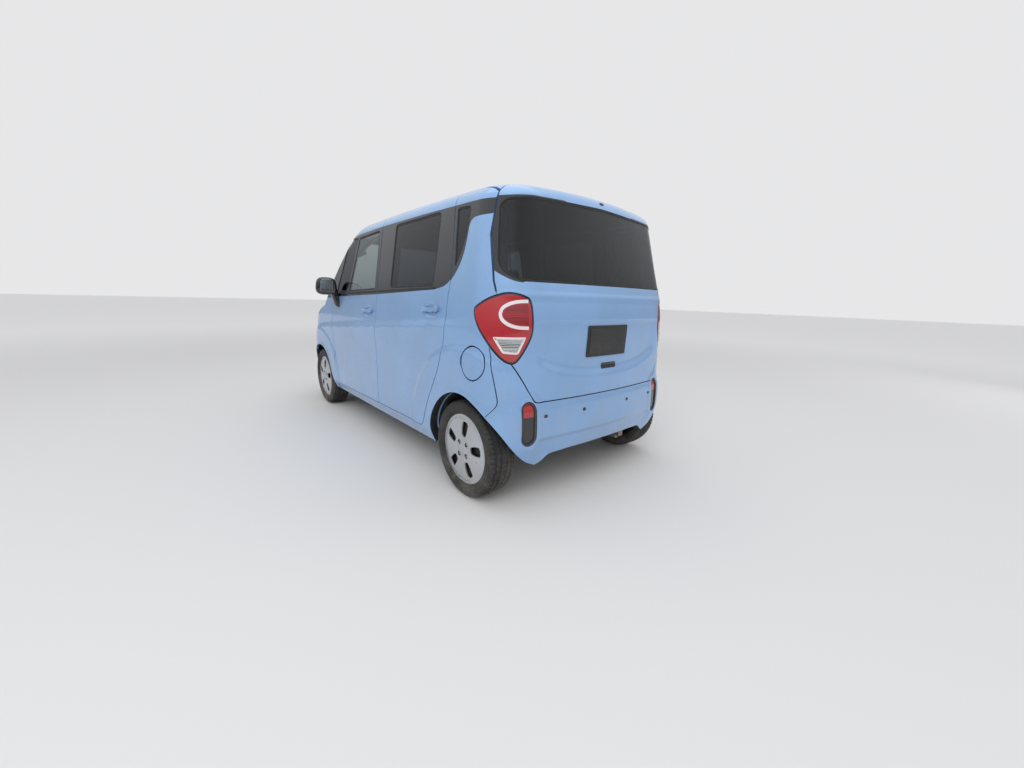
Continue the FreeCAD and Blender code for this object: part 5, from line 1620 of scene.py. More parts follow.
def turned(name, profile, materials, centre, kinds, count=120, cut=None):
    """A closed profile (x, radius) turned about the wheel axis at centre."""
    rows = len(profile)
    turns = np.arange(count) / count * 2 * math.pi
    x = np.tile(profile[:, 0], (count, 1))
    r = np.tile(profile[:, 1], (count, 1))
    if cut is not None:
        r = r - cut(x, r, np.tile(turns[:, None], (1, rows)))
    y, z = r * np.cos(turns)[:, None] + centre[1], r * np.sin(turns)[:, None] + centre[2]
    points = np.stack([x + centre[0], y, z], axis=2).reshape(-1, 3)
    i, j = np.meshgrid(np.arange(count), np.arange(rows), indexing="ij")
    i2, j2 = (i + 1) % count, (j + 1) % rows
    faces = np.stack([i * rows + j, i2 * rows + j, i2 * rows + j2, i * rows + j2], axis=2).reshape(-1, 4)
    middle = (profile + np.roll(profile, -1, axis=0)) / 2
    groups = np.tile([kinds(*m) for m in middle], count)
    return faced(clean(name, (points, faces, None), groups, materials), sharp=35)


TYRE_R, RIM_R = 0.278, 0.2035
HUB = (0.6975, REAR_AXLE, AXLE_Z)
GROOVES = (-0.052, -0.019, 0.019, 0.052)


def tyre_profile():
    tread = []
    for x in np.arange(-0.066, 0.0661, 0.0033):
        deep = 0.007 if min(abs(x - g) for g in GROOVES) < 0.0042 else 0.0
        tread.append((x, TYRE_R - 0.0045 * (x / 0.066) ** 2 - deep))
    side = open_run([(0.0715, 0.2705), (0.079, 0.262), (0.087, 0.24), (0.085, 0.219), (0.078, 0.2085),
        (0.07, RIM_R - 0.001)], 0.01, 0.0035)
    inner = [(0.06, 0.214), (0.07, 0.25), (0.06, 0.264), (0.0, 0.267)]
    half = np.vstack([side, inner])
    return np.vstack([tread, half, (half * [-1, 1])[::-1][1:]])


def tread_cut(x, r, turn):
    """Depth of the cross grooves on the shoulders and of the fine sipes between them."""
    pitch = turn / (2 * math.pi) * 64
    crown = ease(r, 0.262, 0.268)
    shoulder = (np.abs(x) > 0.0555) & (((pitch + 0.15 * np.sign(x)) % 1) < 0.26)
    rib = (np.abs(x) < 0.048) & (((pitch + np.abs(x) * 30) % 1) < 0.25)
    return crown * (0.0055 * shoulder + 0.003 * rib)


tyre = turned("tyre_mesh_left", tyre_profile(), ["tyre"], HUB, lambda x, r: 0, 256, tread_cut)
show(tyre)


# %% Wheel cover, rim and nuts
COVER_R = 0.2025


def lay_disc(uv):
    """The dome of the cover, on the rear left wheel."""
    def face(u, v):
        r = np.hypot(u, v)
        dome = 0.7775 - 0.013 * (r / COVER_R) ** 4 - 0.004 * bump(r, 0.048, 0.02)
        return dome - 0.0025 * bump(r, 0.186, 0.008) + 0.002 * ease(r, 0.034, 0.028)

    u, v = uv[:, 0], uv[:, 1]
    step = 0.0008
    du = (face(u + step, v) - face(u - step, v)) / (2 * step)
    dv = (face(u, v + step) - face(u, v - step)) / (2 * step)
    way = np.column_stack([np.ones(len(u)), -du, -dv])
    points = np.column_stack([face(u, v), REAR_AXLE + u, AXLE_Z + v])
    return points, way / lengths(way)[:, None]


def polar(r, degrees):
    a = math.radians(degrees)
    return (r * math.cos(a), r * math.sin(a))


def slot_outline(turn):
    corners = [polar(0.08, turn - 13), polar(0.08, turn + 13), polar(0.12, turn + 12.5),
        polar(0.163, turn + 9.5), polar(0.166, turn), polar(0.163, turn - 9.5), polar(0.12, turn - 12.5)]
    return rounded(corners, 0.014)


SLOTS = [slot_outline(82 + 72 * k) for k in range(5)]
NUTS = [polar(0.048, 45 + 90 * k) for k in range(4)]
NUT_HOLES = [circle(u, v, 0.0135, 24) for u, v in NUTS]
cover = panel("wheel_cover_left", circle(0, 0, COVER_R, 144), ["silver", "black"], lay_disc,
    holes=SLOTS + NUT_HOLES, thick=0.01, inner=1, wall=0, edge=0.003, spacing=0.0085)


def plain_disc(name, radius, top, thick, material, edge=0.003):
    return panel(name, circle(0, 0, radius), [material], lay_disc, thick=thick, top=top, inner=0, edge=edge,
        spacing=0.012)


hub_cap = plain_disc("wheel_hub_cap_left", 0.027, -0.0005, 0.006, "silver")
back_disc = plain_disc("wheel_disc_left", 0.19, 0.03, 0.01, "black")
drum = plain_disc("wheel_drum_left", 0.12, 0.041, 0.014, "cast")
rim_profile = resample([(0.072, 0.202), (0.07, 0.206), (0.064, 0.205), (0.05, 0.1965), (-0.05, 0.1965),
    (-0.064, 0.205), (-0.072, 0.205), (-0.072, 0.201), (-0.05, 0.1925), (0.05, 0.1925)], 0.006, True)
rim = turned("wheel_rim_left", rim_profile, ["steel"], HUB, lambda x, r: 0, 96)


def joined(name, parts):
    """Several meshes as one piece, their materials kept."""
    with bpy.context.temp_override(active_object=parts[0], selected_editable_objects=parts):
        bpy.ops.object.join()
    parts[0].name = parts[0].data.name = name
    return parts[0]


def solid(name, mesh, material):
    """A piece of one finish from an edited mesh."""
    data = bpy.data.meshes.new(name)
    mesh.to_mesh(data)
    mesh.free()
    data.materials.append(M[material])
    return placed(name, data)


def nut(k, place):
    mesh = bmesh.new()
    bmesh.ops.create_cone(mesh, cap_ends=True, segments=6, radius1=0.0105, radius2=0.0095, depth=0.022)
    bmesh.ops.bevel(mesh, geom=mesh.edges[:], offset=0.001, segments=2, affect="EDGES")
    bmesh.ops.rotate(mesh, verts=mesh.verts[:], matrix=Matrix.Rotation(math.pi / 2, 3, "Y"))
    bmesh.ops.translate(mesh, verts=mesh.verts[:], vec=(0.758, REAR_AXLE + place[0], AXLE_Z + place[1]))
    return solid("wheel_nut%d" % k, mesh, "cast")


nuts = [nut(k, place) for k, place in enumerate(NUTS)]
wheel = joined("wheel_mesh_left", [cover, hub_cap, back_disc, drum, rim] + nuts)
show(wheel)


# %% [markdown]
# ## Small solid parts
# Blocks with soft edges, bent tubes and the mirror shells share three small helpers.

# %% Helpers for solid parts
def soft_block(name, centre, size, radius, material, turn=(0, 0, 0), segments=4, taper=None):
    """A block with rounded edges; taper shrinks its upper end by (x, y) shares."""
    mesh = bmesh.new()
    bmesh.ops.create_cube(mesh, size=1.0)
    for v in mesh.verts:
        v.co = Vector([v.co[k] * size[k] for k in range(3)])
        if taper and v.co.z > 0:
            v.co.x *= taper[0]
            v.co.y *= taper[1]
    bmesh.ops.bevel(mesh, geom=mesh.edges[:], offset=min(radius, min(size) * 0.45), segments=segments,
        profile=0.5, affect="EDGES")
    turned_by = Euler([math.radians(a) for a in turn]).to_matrix()
    bmesh.ops.rotate(mesh, verts=mesh.verts[:], matrix=turned_by)
    bmesh.ops.translate(mesh, verts=mesh.verts[:], vec=centre)
    for face in mesh.faces:
        face.smooth = True
    return solid(name, mesh, material)


def ladder(rows, cols, joined_up=False):
    """Faces between rows of points that each run round, with the last row joined to the first if asked."""
    pairs = [(i, (i + 1) % rows) for i in range(rows if joined_up else rows - 1)]
    return [(i * cols + j, i * cols + (j + 1) % cols, k * cols + (j + 1) % cols, k * cols + j)
        for i, k in pairs for j in range(cols)]


def tube(name, path, radius, material, sides=14, closed=False, flat=1.0):
    """A round bar along a path; flat squeezes it in height."""
    path = np.array(path, float)
    count = len(path)
    way = np.gradient(path, axis=0) if not closed else np.roll(path, -1, axis=0) - np.roll(path, 1, axis=0)
    way /= lengths(way)[:, None]
    up = np.tile([0.0, 0.0, 1.0], (count, 1))
    if np.abs(way[:, 2]).max() > 0.9:
        up = np.tile([1.0, 0.0, 0.0], (count, 1))
    side = np.cross(way, up)
    side /= lengths(side)[:, None]
    up = np.cross(side, way)
    turns = np.arange(sides) / sides * 2 * math.pi
    across = side[:, None] * np.cos(turns)[None, :, None]
    ring = (across + up[:, None] * np.sin(turns)[None, :, None] * flat) * radius
    points = (path[:, None] + ring).reshape(-1, 3)
    faces = ladder(count, sides, closed)
    return faced(clean(name, (points, faces, None), np.zeros(len(faces)), [material]), not closed)


def curve(points, per=10):
    """A smooth open path through points."""
    p = np.array(points, float)
    p = np.vstack([2 * p[0] - p[1], p, 2 * p[-1] - p[-2]])
    return np.vstack([spline(*p[i - 1:i + 3], per) for i in range(1, len(p) - 2)] + [p[-2:-1]])


# %% [markdown]
# ### Door mirror
# The moulded housing is a rounded box with a flat rear, which one formula gives. The glass
# lies in the flat, and a foot and a base carry it on the door's front corner.

# %% Door mirror
def mirror_shell(name, centre, half, back, material):
    """A rounded housing whose rear is cut flat at y = back."""
    rows, cols, power = 40, 72, 0.6
    up = np.linspace(-math.pi / 2, math.pi / 2, rows)[1:-1]
    turn = np.arange(cols) / cols * 2 * math.pi
    u, t = np.meshgrid(up, turn, indexing="ij")

    def bent(a):
        return np.sign(a) * np.abs(a) ** power

    x, z = bent(np.cos(u) * np.cos(t)), bent(np.sin(u))
    y = np.sign(np.sin(t)) * np.abs(np.cos(u) * np.sin(t)) ** 0.75
    points = np.stack([x * half[0], np.minimum(y * half[1] + centre[1], back) - centre[1], z * half[2]],
        axis=2)
    points[..., 0] *= 1 - 0.1 * z
    points = points.reshape(-1, 3) + np.array(centre)
    count = rows - 2
    faces = ladder(count, cols)
    faces += [tuple(range(cols))[::-1], tuple((count - 1) * cols + j for j in range(cols))]
    piece = clean(name, (points, faces, None), np.zeros(len(faces)), [material])
    piece.data.set_sharp_from_angle(angle=math.radians(50))
    return piece


def lay_mirror(uv):
    """The flat rear of the mirror housing."""
    points = np.column_stack([uv[:, 0], np.full(len(uv), -0.5225), uv[:, 1]])
    return points, np.tile([0.0, 1.0, 0.0], (len(uv), 1))


mirror_shell("mirror_left_case", (0.8697, -0.567, 1.168), (0.083, 0.046, 0.074), -0.5235, "gloss")
mirror_view = rounded([(0.806, 1.112), (0.936, 1.112), (0.926, 1.224), (0.818, 1.224)], 0.035)
plain("mirror_left_glass", mirror_view[::-1], "mirror", lay_mirror, thick=0.004, top=-0.0025, edge=0.001,
    spacing=0.02)
soft_block("mirror_left_foot", (0.797, -0.566, 1.07), (0.05, 0.07, 0.15), 0.016, "gloss", (0, 14, 0),
    taper=(1.2, 0.8))
soft_block("mirror_left_base", (0.779, -0.56, 1.02), (0.022, 0.088, 0.07), 0.009, "gloss", (0, -2, 0))
print("door mirror ready")

# %% [markdown]
# ### Wipers and steering wheel
# Arms and rim are bent tubes. The wipers are laid on the windscreen by their line in plan, so
# that they follow its curve.

# %% Wipers and steering wheel
def on_screen(points, lift):
    p, way = lay_top(np.array(points, float))
    return p + way * lift


def wiper(name, pivot, tip, blade):
    bend = ((pivot[0] * 2 + tip[0]) / 3, (pivot[1] * 2 + tip[1]) / 3)
    arm = tube(name + "_arm", on_screen(curve([pivot, bend, tip]), 0.014), 0.007, "black", flat=0.6)
    rubber = tube(name + "_blade", on_screen(np.linspace(blade[0], blade[1], 24), 0.0075), 0.006, "rubber")
    joined(name, [arm, rubber])


wiper("wiper_left", (0.5, -1.068), (0.17, -1.045), ((0.43, -1.02), (-0.06, -1.05)))
wiper("wiper_right", (-0.13, -1.085), (-0.37, -1.05), ((-0.15, -1.055), (-0.54, -1.01)))

STEER_AT, STEER_LEAN = Vector((0.345, -0.3725, 0.98)), 27.0
ring = [(x, y, 0) for x, y in circle(0, 0, 0.166, 96)]
steering = [
    tube("steer_rim", ring, 0.0135, "black", closed=True),
    soft_block("steer_pad", (0, 0, 0.004), (0.12, 0.105, 0.04), 0.018, "black")]
for degrees in (8, 172, 270):
    a = math.radians(degrees)
    steering.append(soft_block("steer_spoke", (0.108 * math.cos(a), 0.108 * math.sin(a), 0),
        (0.12, 0.03, 0.014), 0.006, "trim", (0, 0, degrees)))
steering = joined("steering_wheel_mesh", steering)
steering.data.transform(Matrix.Translation(STEER_AT) @ Matrix.Rotation(math.radians(STEER_LEAN - 90), 4, "X"))
print("wipers and steering wheel ready")


# %% [markdown]
# ## Cabin
# The dashboard is one swept form with a hood over the dials and a raised screen. The seats
# are foam under cloth: each cushion is a block that a cloth simulation blows up against its
# own seams, which gives the soft crown and pulled corners that a modelled block lacks.

# %% Dashboard
DASH = [(-0.69, 0.945), (-0.56, 0.985), (-0.445, 0.968), (-0.402, 0.925), (-0.398, 0.87), (-0.42, 0.815),
    (-0.455, 0.72), (-0.5, 0.6), (-0.56, 0.552), (-0.69, 0.552)]


def dashboard():
    line = smooth_loop(np.array(DASH), 8)
    xs = np.linspace(-0.625, 0.625, 100)
    rows = []
    for x in xs:
        y, z = line[:, 0].copy(), line[:, 1].copy()
        end = 1 - 0.06 * ease(abs(x), 0.56, 0.625)
        y, z = -0.56 + (y + 0.56) * end, 0.77 + (z - 0.77) * end
        hump = float(bump(x, 0.345, 0.19)) ** 0.6
        z += 0.028 * hump * ease(z, 0.9, 0.96) * ease(y, -0.6, -0.5)
        stack = float(ease(abs(x), 0.2, 0.13))
        y += 0.022 * stack * ease(y, -0.52, -0.44)
        rows.append(np.column_stack([np.full(len(y), x), y, z]))
    points, per = np.vstack(rows), len(line)
    faces = ladder(len(xs), per)
    faces += [tuple(range(per)), tuple((len(xs) - 1) * per + j for j in range(per))[::-1]]
    groups = [0 if points[list(f)].mean(axis=0)[2] > 0.835 else 1 for f in faces]
    return faced(clean("dashboard_body", (points, faces, None), groups, ["black", "trim"]), sharp=40)


# Columns: name, centre, size, edge radius, finish, lean in degrees.
DASH_BLOCKS = [
    ("dash_screen", (0, -0.385, 0.905), (0.23, 0.016, 0.135), 0.006, "gloss", -12),
    ("dash_dials", (0.345, -0.405, 0.965), (0.25, 0.02, 0.07), 0.008, "gloss", -25),
    ("dash_panel", (0, -0.398, 0.775), (0.2, 0.02, 0.09), 0.006, "gloss", 16),
    ("dash_lever", (0.075, -0.36, 0.8), (0.034, 0.08, 0.034), 0.014, "black", 30),
    ("dash_box", (-0.36, -0.418, 0.745), (0.34, 0.014, 0.12), 0.006, "trim", 16),
]
dash = [dashboard()]
for name, centre, size, radius, look, lean in DASH_BLOCKS:
    dash.append(soft_block(name, centre, size, radius, look, (lean, 0, 0)))
column = [STEER_AT + Vector((0, -0.05 - s * 0.18, -0.02 - s * 0.09)) for s in (0, 0.5, 1)]
dash.append(tube("dash_column", column, 0.038, "black"))
for x in (-0.53, -0.2, 0.2, 0.53):
    dash.append(soft_block("dash_vent", (x, -0.398, 0.89), (0.105, 0.016, 0.05), 0.007, "gloss"))
    for k in range(4):
        dash.append(soft_block("dash_vane", (x, -0.389, 0.873 + 0.0115 * k), (0.092, 0.006, 0.003), 0.001,
            "trim"))
stalks = curve([(0.245, -0.395, 0.968), (0.345, -0.4, 0.958), (0.445, -0.395, 0.968)])
dash.append(tube("dash_stalks", stalks, 0.007, "black"))
show(joined("dashboard_mesh", dash))


# %% Cushions
def cushion(name, centre, size, lean, fine, swell, wings):
    """A foam pad under cloth: soft block, even mesh, cloth under pressure, swelling limited to swell."""
    piece = soft_block(name, (0, 0, 0), [s - swell for s in size], 0.035, "cloth", segments=5)
    remesh = piece.modifiers.new("even mesh", "REMESH")
    remesh.mode, remesh.voxel_size = "VOXEL", fine
    apply_all(piece)
    points = np.array([v.co[:] for v in piece.data.vertices])
    swollen = blown_up(piece, points, size[2])
    move = swollen - points
    length = lengths(move)
    points = points + move * (swell * np.tanh(length / swell) / np.maximum(length, 1e-9))[:, None]
    x, z = np.abs(points[:, 0]), points[:, 2]
    above = ease(z, 0, size[2] * 0.35)
    if wings:
        points[:, 2] += wings * ease(x, size[0] * 0.28, size[0] * 0.42) * above
        points[:, 2] -= 0.006 * bump(x, size[0] * 0.27, 0.012) * above
    half = np.array(size) / 2 * 1.03
    points = np.clip(points, -half, half)
    piece.data.vertices.foreach_set("co", points.ravel())
    piece.data.materials.append(M["cloth_side"])
    for polygon in piece.data.polygons:
        polygon.use_smooth = True
        polygon.material_index = int(abs(polygon.center.x) > size[0] * 0.27 or polygon.center.z < 0)
    piece.data.transform(Matrix.Translation(centre) @ Matrix.Rotation(math.radians(lean), 4, "X"))
    piece.data.update()
    return piece


def blown_up(piece, points, tall):
    """Where cloth under pressure carries each point, with the middle seam held."""
    held = piece.vertex_groups.new(name="seam")
    for i, p in enumerate(points):
        held.add([i], float(np.clip(1.5 - abs(p[2]) / (tall * 0.12), 0, 1)), "REPLACE")
    cloth = piece.modifiers.new("cloth", "CLOTH")
    settings = cloth.settings
    settings.quality, settings.mass = 4, 0.4
    settings.use_pressure, settings.uniform_pressure_force = True, 4.0
    settings.tension_stiffness = settings.compression_stiffness = 12
    settings.bending_stiffness = 1.5
    settings.vertex_group_mass = "seam"
    settings.effector_weights.gravity = 0
    cloth.point_cache.frame_start, cloth.point_cache.frame_end = 1, 20
    for number in range(1, 21):
        bpy.context.scene.frame_set(number)
    got = piece.evaluated_get(bpy.context.evaluated_depsgraph_get())
    end = np.array([v.co[:] for v in got.data.vertices])
    piece.modifiers.clear()
    bpy.context.scene.frame_set(1)
    return end


def apply_all(piece):
    """The mesh as its modifiers show it."""
    bpy.context.view_layer.update()
    got = piece.evaluated_get(bpy.context.evaluated_depsgraph_get())
    data = bpy.data.meshes.new_from_object(got)
    piece.modifiers.clear()
    piece.data = data


SEAT_X, BENCH_X = 0.345, 0.297
UPRIGHT = 90 - 18
# Columns: name, centre, size, lean in degrees, mesh step, swell, height of the side wings.
PADS = [
    ("front_seat_cushion_left", (SEAT_X, -0.0575, 0.497), (0.485, 0.49, 0.135), 3, 0.009, 0.02, 0.012),
    ("front_seat_back_left", (SEAT_X, 0.315, 0.8), (0.48, 0.61, 0.112), UPRIGHT, 0.009, 0.018, 0.012),
    ("front_seat_head_left", (SEAT_X, 0.425, 1.135), (0.255, 0.145, 0.092), UPRIGHT, 0.007, 0.012, 0.0),
    ("rear_seat_cushion_left", (BENCH_X, 0.6625, 0.497), (0.575, 0.46, 0.135), 3, 0.01, 0.02, 0.012),
    ("rear_seat_back_left", (BENCH_X, 1.025, 0.86), (0.58, 0.6, 0.112), UPRIGHT, 0.01, 0.018, 0.012),
    ("rear_seat_head_left", (BENCH_X, 1.135, 1.225), (0.255, 0.145, 0.092), UPRIGHT, 0.007, 0.012, 0.0),
]
seat_pads = [cushion(*row) for row in PADS]
POST_TOPS = [(x0 + side, y, z) for x0, y, z in ((SEAT_X, 0.415, 1.09), (BENCH_X, 1.125, 1.18))
    for side in (-0.06, 0.06)]
posts = [tube("seat_post", [(x, y, z), (x, y - 0.03, z - 0.09)], 0.006, "cast") for x, y, z in POST_TOPS]
feet = [soft_block("seat_foot", (SEAT_X, -0.06, 0.342), (0.4, 0.4, 0.165), 0.02, "black"),
    soft_block("seat_skirt", (SEAT_X + 0.232, -0.045, 0.455), (0.022, 0.44, 0.085), 0.009, "trim")]
bench_foot = soft_block("bench_foot", (BENCH_X, 0.67, 0.343), (0.54, 0.38, 0.168), 0.02, "carpet")
joined("front_seat_base_left", feet + posts[:2])
joined("rear_seat_base_left", [bench_foot] + posts[2:])
print("pads:", sum(len(p.data.polygons) for p in seat_pads), "faces")

# %% [markdown]
# ### Carpets, engine and tank
# Carpet lies on the pressed floor. The engine is a few cast and moulded blocks, enough to fill
# the view with the hood open, and the tank is a plastic shell in two steel straps.

# %% Floor, engine and tank
soft_block("cabin_carpet", (0, 0.24, 0.2615), (1.27, 1.72, 0.01), 0.004, "carpet")
soft_block("boot_carpet", (0, 1.4, 0.5645), (0.76, 0.56, 0.008), 0.003, "carpet")
engine = [soft_block("engine_block", (-0.035, -1.235, 0.42), (0.5, 0.34, 0.33), 0.03, "cast"),
    soft_block("engine_head", (-0.06, -1.225, 0.64), (0.42, 0.23, 0.13), 0.025, "black", (8, 0, 0)),
    soft_block("engine_air_box", (0.18, -1.24, 0.655), (0.17, 0.24, 0.14), 0.03, "black"),
    soft_block("engine_gear_box", (0.19, -1.2, 0.35), (0.17, 0.26, 0.2), 0.05, "cast"),
    soft_block("engine_fan_shroud", (-0.03, -1.425, 0.48), (0.56, 0.03, 0.36), 0.012, "black")]
for k in range(5):
    engine.append(soft_block("engine_rib", (-0.2 + 0.075 * k, -1.225, 0.704), (0.012, 0.19, 0.012), 0.003,
        "black", (8, 0, 0)))
engine.append(tube("engine_hose", curve([(0.15, -1.33, 0.69), (0.1, -1.4, 0.66), (-0.02, -1.41, 0.6)]),
    0.022, "rubber"))
joined("engine_mesh", engine)
tank = [soft_block("tank_shell", (0, 0.562, 0.186), (0.65, 0.41, 0.086), 0.028, "black")]
for x in (-0.18, 0.18):
    tank.append(soft_block("tank_strap", (x, 0.562, 0.186), (0.03, 0.418, 0.09), 0.029, "steel"))
joined("fuel_tank_mesh", tank)
print("chassis pieces ready")

# %% [markdown]
# ## The other side
# The right side repeats the left by mirroring, except where the car differs: there is no fuel
# flap on the right, and the sliding door leaves one long opening without a middle pillar. Its
# rail slot is a gloss black strip laid on the quarter panel, painted shade for the dark slot.

# %% Right-hand pieces
def named(start):
    return [o for o in bpy.data.objects if o.name.startswith(start) and o.name not in frame["nodes"]]


right_quarter = quarter_panel("right_quarter_form", [quarter_window])
ONE_HOLE = frame_hole([(-0.655, 0.325)] + REAR_HOLE[1:], (1.14, -0.3), FRONT_HOLE_UP, 60)
right_frame = side_frame("right_frame_form", [ONE_HOLE, quarter_window])
# Painted shade: a gloss black strip stands for the dark slot of the sliding door's rail.
rail = strip("slide_rail_form", (1.262, 0.905), (1.5, 0.915), "gloss", 0.009, 0.001, 0.012)
for piece, name in ((right_quarter, "body_side_right_quarter"), (right_frame, "body_side_right_frame"),
        (rail, "slide_rail_right")):
    mirror_piece(piece, name)
    bpy.data.objects.remove(piece)

TWINS = ["front_door_left", "rear_door_left", "mirror_left", "front_fender_left", "tail_lamp_left",
    "bumper_lamp_left", "head_lamp_left", "bumper_sensor", "quarter_pane_left", "quarter_seal_left",
    "body_side_left_pillar", "front_seat_", "rear_seat_", "fog_"]
for start in TWINS:
    for piece in named(start):
        if "_right" in piece.name or piece.name.endswith("_r"):
            continue
        name = piece.name.replace("rear_door_left", "sliding_door").replace("left", "right")
        mirror_piece(piece, name if name != piece.name else piece.name + "_r")


# %% Wheels and tyres at the four corners
def corner(source, name, left, y):
    copy = source.copy() if left else mirror_piece(source, name)
    copy.data = copy.data.copy()
    copy.name = copy.data.name = name
    if left:
        bpy.context.scene.collection.objects.link(copy)
    copy.data.transform(Matrix.Translation((0, y - REAR_AXLE, 0)))
    return copy


for end, y in (("front", FRONT_AXLE), ("rear", REAR_AXLE)):
    for side in ("left", "right"):
        where = "%s_%s" % (end, side)
        for source, kind in ((tyre, "tyre"), (wheel, "wheel")):
            piece = corner(source, "%s_%s_mesh" % (kind, where), side == "left", y)
            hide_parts("%s_%s" % (kind, where))
            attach(piece, "wheel_" + where)
for source in (tyre, wheel):
    bpy.data.objects.remove(source)
print("four corners done")

# %% [markdown]
# ## What each piece belongs to
# Every piece rides on the body that carries it in the moving model and hides the plain CAD node
# that it stands for. The table also lists a material slot for each, which the code does not use.

# %% Ride and replace
# Columns: start of the piece names, CAD node, body that it rides on, material slot.
BELONGS = [
    ("front_door_left_pane", "front_door_left_glass", "front_door_left", "clear_glass"),
    ("front_door_right_pane", "front_door_right_glass", "front_door_right", "clear_glass"),
    ("rear_door_left_pane", "rear_door_left_glass", "rear_door_left", "dark_glass"),
    ("sliding_door_pane", "sliding_door_glass", "body", "dark_glass"),
    ("front_door_left", "front_door_left", "front_door_left", "paint"),
    ("front_door_right", "front_door_right", "front_door_right", "paint"),
    ("rear_door_left", "rear_door_left", "rear_door_left", "paint"),
    ("sliding_door", "sliding_door", "body", "paint"),
    ("slide_rail_right", "body_side_right", "body", "black_trim"),
    ("mirror_left", "mirror_left", "front_door_left", "black_trim"),
    ("mirror_right", "mirror_right", "front_door_right", "black_trim"),
    ("body_side_left", "body_side_left", "body", "paint"),
    ("body_side_right", "body_side_right", "body", "paint"),
    ("fuel_flap_skin", "fuel_flap", "fuel_flap", "paint"),
    ("fuel_", "body_side_left", "body", "black_trim"),
    ("tailgate_pane", "tailgate_glass", "tailgate", "dark_glass"),
    ("tailgate", "tailgate", "tailgate", "paint"),
    ("plate_", "plate_bracket", "tailgate", "black_trim"),
    ("rear_bumper_skin", "rear_bumper", "body", "paint"),
    ("bumper_", "rear_bumper", "body", "red_lamp"),
    ("front_bumper_skin", "front_bumper", "body", "paint"),
    ("fog_", "front_bumper", "body", "black_trim"),
    ("front_fender", "front_fenders", "body", "paint"),
    ("hood_skin", "hood", "hood", "paint"),
    ("cowl_cover", "cowl", "body", "black_trim"),
    ("roof_skin", "roof_panel", "body", "paint"),
    ("windscreen_glass", "windscreen", "body", "clear_glass"),
    ("wiper_", "cowl", "body", "black_trim"),
    ("quarter_", "quarter_windows", "body", "dark_glass"),
    ("tail_lamp", "tail_lamps", "body", "red_lamp"),
    ("head_lamp", "head_lamps", "body", "head_lamp"),
    ("upper_grille", "grilles", "body", "black_trim"),
    ("lower_grille", "grilles", "body", "black_trim"),
    ("steering_wheel_mesh", "steering_wheel", "steering_wheel", "dash_plastic"),
    ("dashboard_mesh", "dashboard", "body", "dash_plastic"),
    ("front_seat_", "front_seats", "body", "seat_fabric"),
    ("rear_seat_", "rear_seat", "body", "seat_fabric"),
    ("engine_mesh", "engine", "body", "cast"),
    ("fuel_tank_mesh", "fuel_tank", "body", "black_trim"),
    ("cabin_carpet", None, "body", "black_trim"),
    ("boot_carpet", None, "body", "black_trim"),
]
BELONGS.sort(key=lambda row: -len(row[0]))
lone = []
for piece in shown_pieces():
    if piece.name in frame["nodes"] or piece.name.startswith(("tyre_", "wheel_")):
        continue
    row = next((r for r in BELONGS if piece.name.startswith(r[0])), None)
    if row is None:
        lone.append(piece.name)
        continue
    _, node, body, slot_name = row
    if node:
        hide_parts(node)
    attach(piece, body)
print("pieces without a row:", lone)

# %% CAD nodes that stay as they are, with their finishes
KEPT = {"underbody": "steel", "rear_axle": "steel", "front_subframe": "steel", "exhaust": "pipe",
    "knuckle_left": "cast", "knuckle_right": "cast"}
for node, look in KEPT.items():
    data = frame["nodes"][node].data
    for k in range(len(data.materials)):
        data.materials[k] = M[look]
print("kept:", ", ".join(KEPT))

# %% [markdown]
# ## Studio
# A pale floor, painted darker round the car as shade, that runs to the horizon, a pale sky for
# the reflections and three large soft lamps. The camera stands where the photograph's camera stood:
# behind the left corner, close, with a wide lens, turned slightly about its own axis.

# %% Floor, lamps and world
def floor_mesh():
    mesh = bpy.data.meshes.new("studio_floor")
    size = 60.0
    corners = [(x * size, y * size, -0.0005) for x, y in ((-1, -1), (1, -1), (1, 1), (-1, 1))]
    mesh.from_pydata(corners, [], [(0, 1, 2, 3)])
    material, tree, shader = new_material("Studio floor")
    where = add(tree, "TexCoord").outputs["Object"]
    away = add(tree, "VectorMath", [(0, where)], operation="LENGTH").outputs["Value"]
    # Painted shade: the floor is darker within about 4.5 m of the car and pales out to 13 m.
    floor_shade_near_car = mixed(tree, ramp(tree, away, 4.5, 13.0), (0.72, 0.72, 0.72, 1), (0.96, 0.96, 0.965, 1))
    tree.links.new(floor_shade_near_car, shader.inputs["Base Color"])
    shader.inputs["Roughness"].default_value = 0.9
    mesh.materials.append(material)
    return placed("studio_floor", mesh)


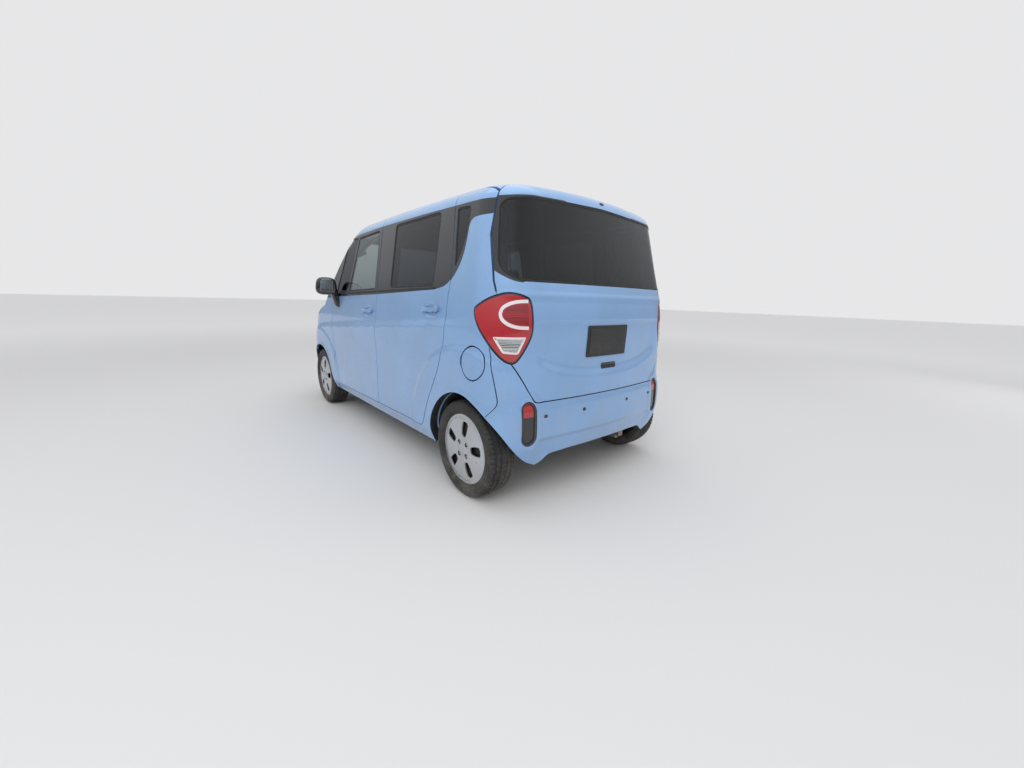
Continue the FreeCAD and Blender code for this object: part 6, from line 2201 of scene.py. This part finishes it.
def soft_lamp(name, place, aim, size, power):
    data = bpy.data.lights.new(name, "AREA")
    data.shape, data.size, data.size_y, data.energy = "RECTANGLE", size[0], size[1], power
    lamp_object = placed(name, data)
    lamp_object.location = place
    lamp_object.rotation_euler = (Vector(aim) - Vector(place)).to_track_quat("-Z", "Y").to_euler()
    lamp_object.visible_glossy = name == "over"


floor_mesh()
soft_lamp("key", (5.5, 5.0, 6.0), (0, 0, 0.8), (5, 5), 270)
soft_lamp("over", (0.0, 0.5, 7.5), (0, 0, 0), (7, 7), 110)
soft_lamp("low_fill", (-6.0, 5.0, 3.0), (0, 0, 0.8), (5, 4), 40)
scene = bpy.context.scene
world = bpy.data.worlds.new("Pale studio")
scene.world = world
world.use_nodes = True
tree = world.node_tree
sky = tree.nodes["Background"]
height = add(tree, "SeparateXYZ", [(0, add(tree, "TexCoord").outputs["Generated"])]).outputs["Z"]
dome = mixed(tree, ramp(tree, height, -0.05, 0.5), (0.24, 0.25, 0.27, 1), (0.9, 0.92, 0.95, 1))
rays = add(tree, "LightPath")
light = mixed(tree, rays.outputs["Is Glossy Ray"], (0.66, 0.66, 0.67, 1), dome)
tree.links.new(mixed(tree, rays.outputs["Is Camera Ray"], light, (0.8, 0.8, 0.81, 1)), sky.inputs["Color"])
sky.inputs["Strength"].default_value = 1.0
scene.view_settings.view_transform = "Standard"
print("studio ready")

# %% Camera
AT, TURN, DOWN, ROLL, FOCAL = (1.957, 3.173, 1.115), 139.08, 12.14, 1.78, 399.74


def photo_camera():
    a, e, r = (math.radians(v) for v in (TURN, DOWN, ROLL))
    back = np.array([math.sin(a) * math.cos(e), -math.cos(a) * math.cos(e), math.sin(e)])
    right = np.cross([0, 0, 1], back)
    right /= np.linalg.norm(right)
    up = np.cross(back, right)
    rows = np.array([math.cos(r) * right + math.sin(r) * up, -math.sin(r) * right + math.cos(r) * up, back])
    data = bpy.data.cameras.new("Photo camera")
    data.sensor_width, data.lens = 36.0, 36.0 * FOCAL / 1024
    data.clip_start, data.clip_end = 0.05, 200.0
    camera = placed("Photo camera", data)
    camera.matrix_world = Matrix.Translation(AT) @ Matrix(rows.T.tolist()).to_4x4()
    scene.camera = camera


photo_camera()
print("lens", round(scene.camera.data.lens, 2), "mm")
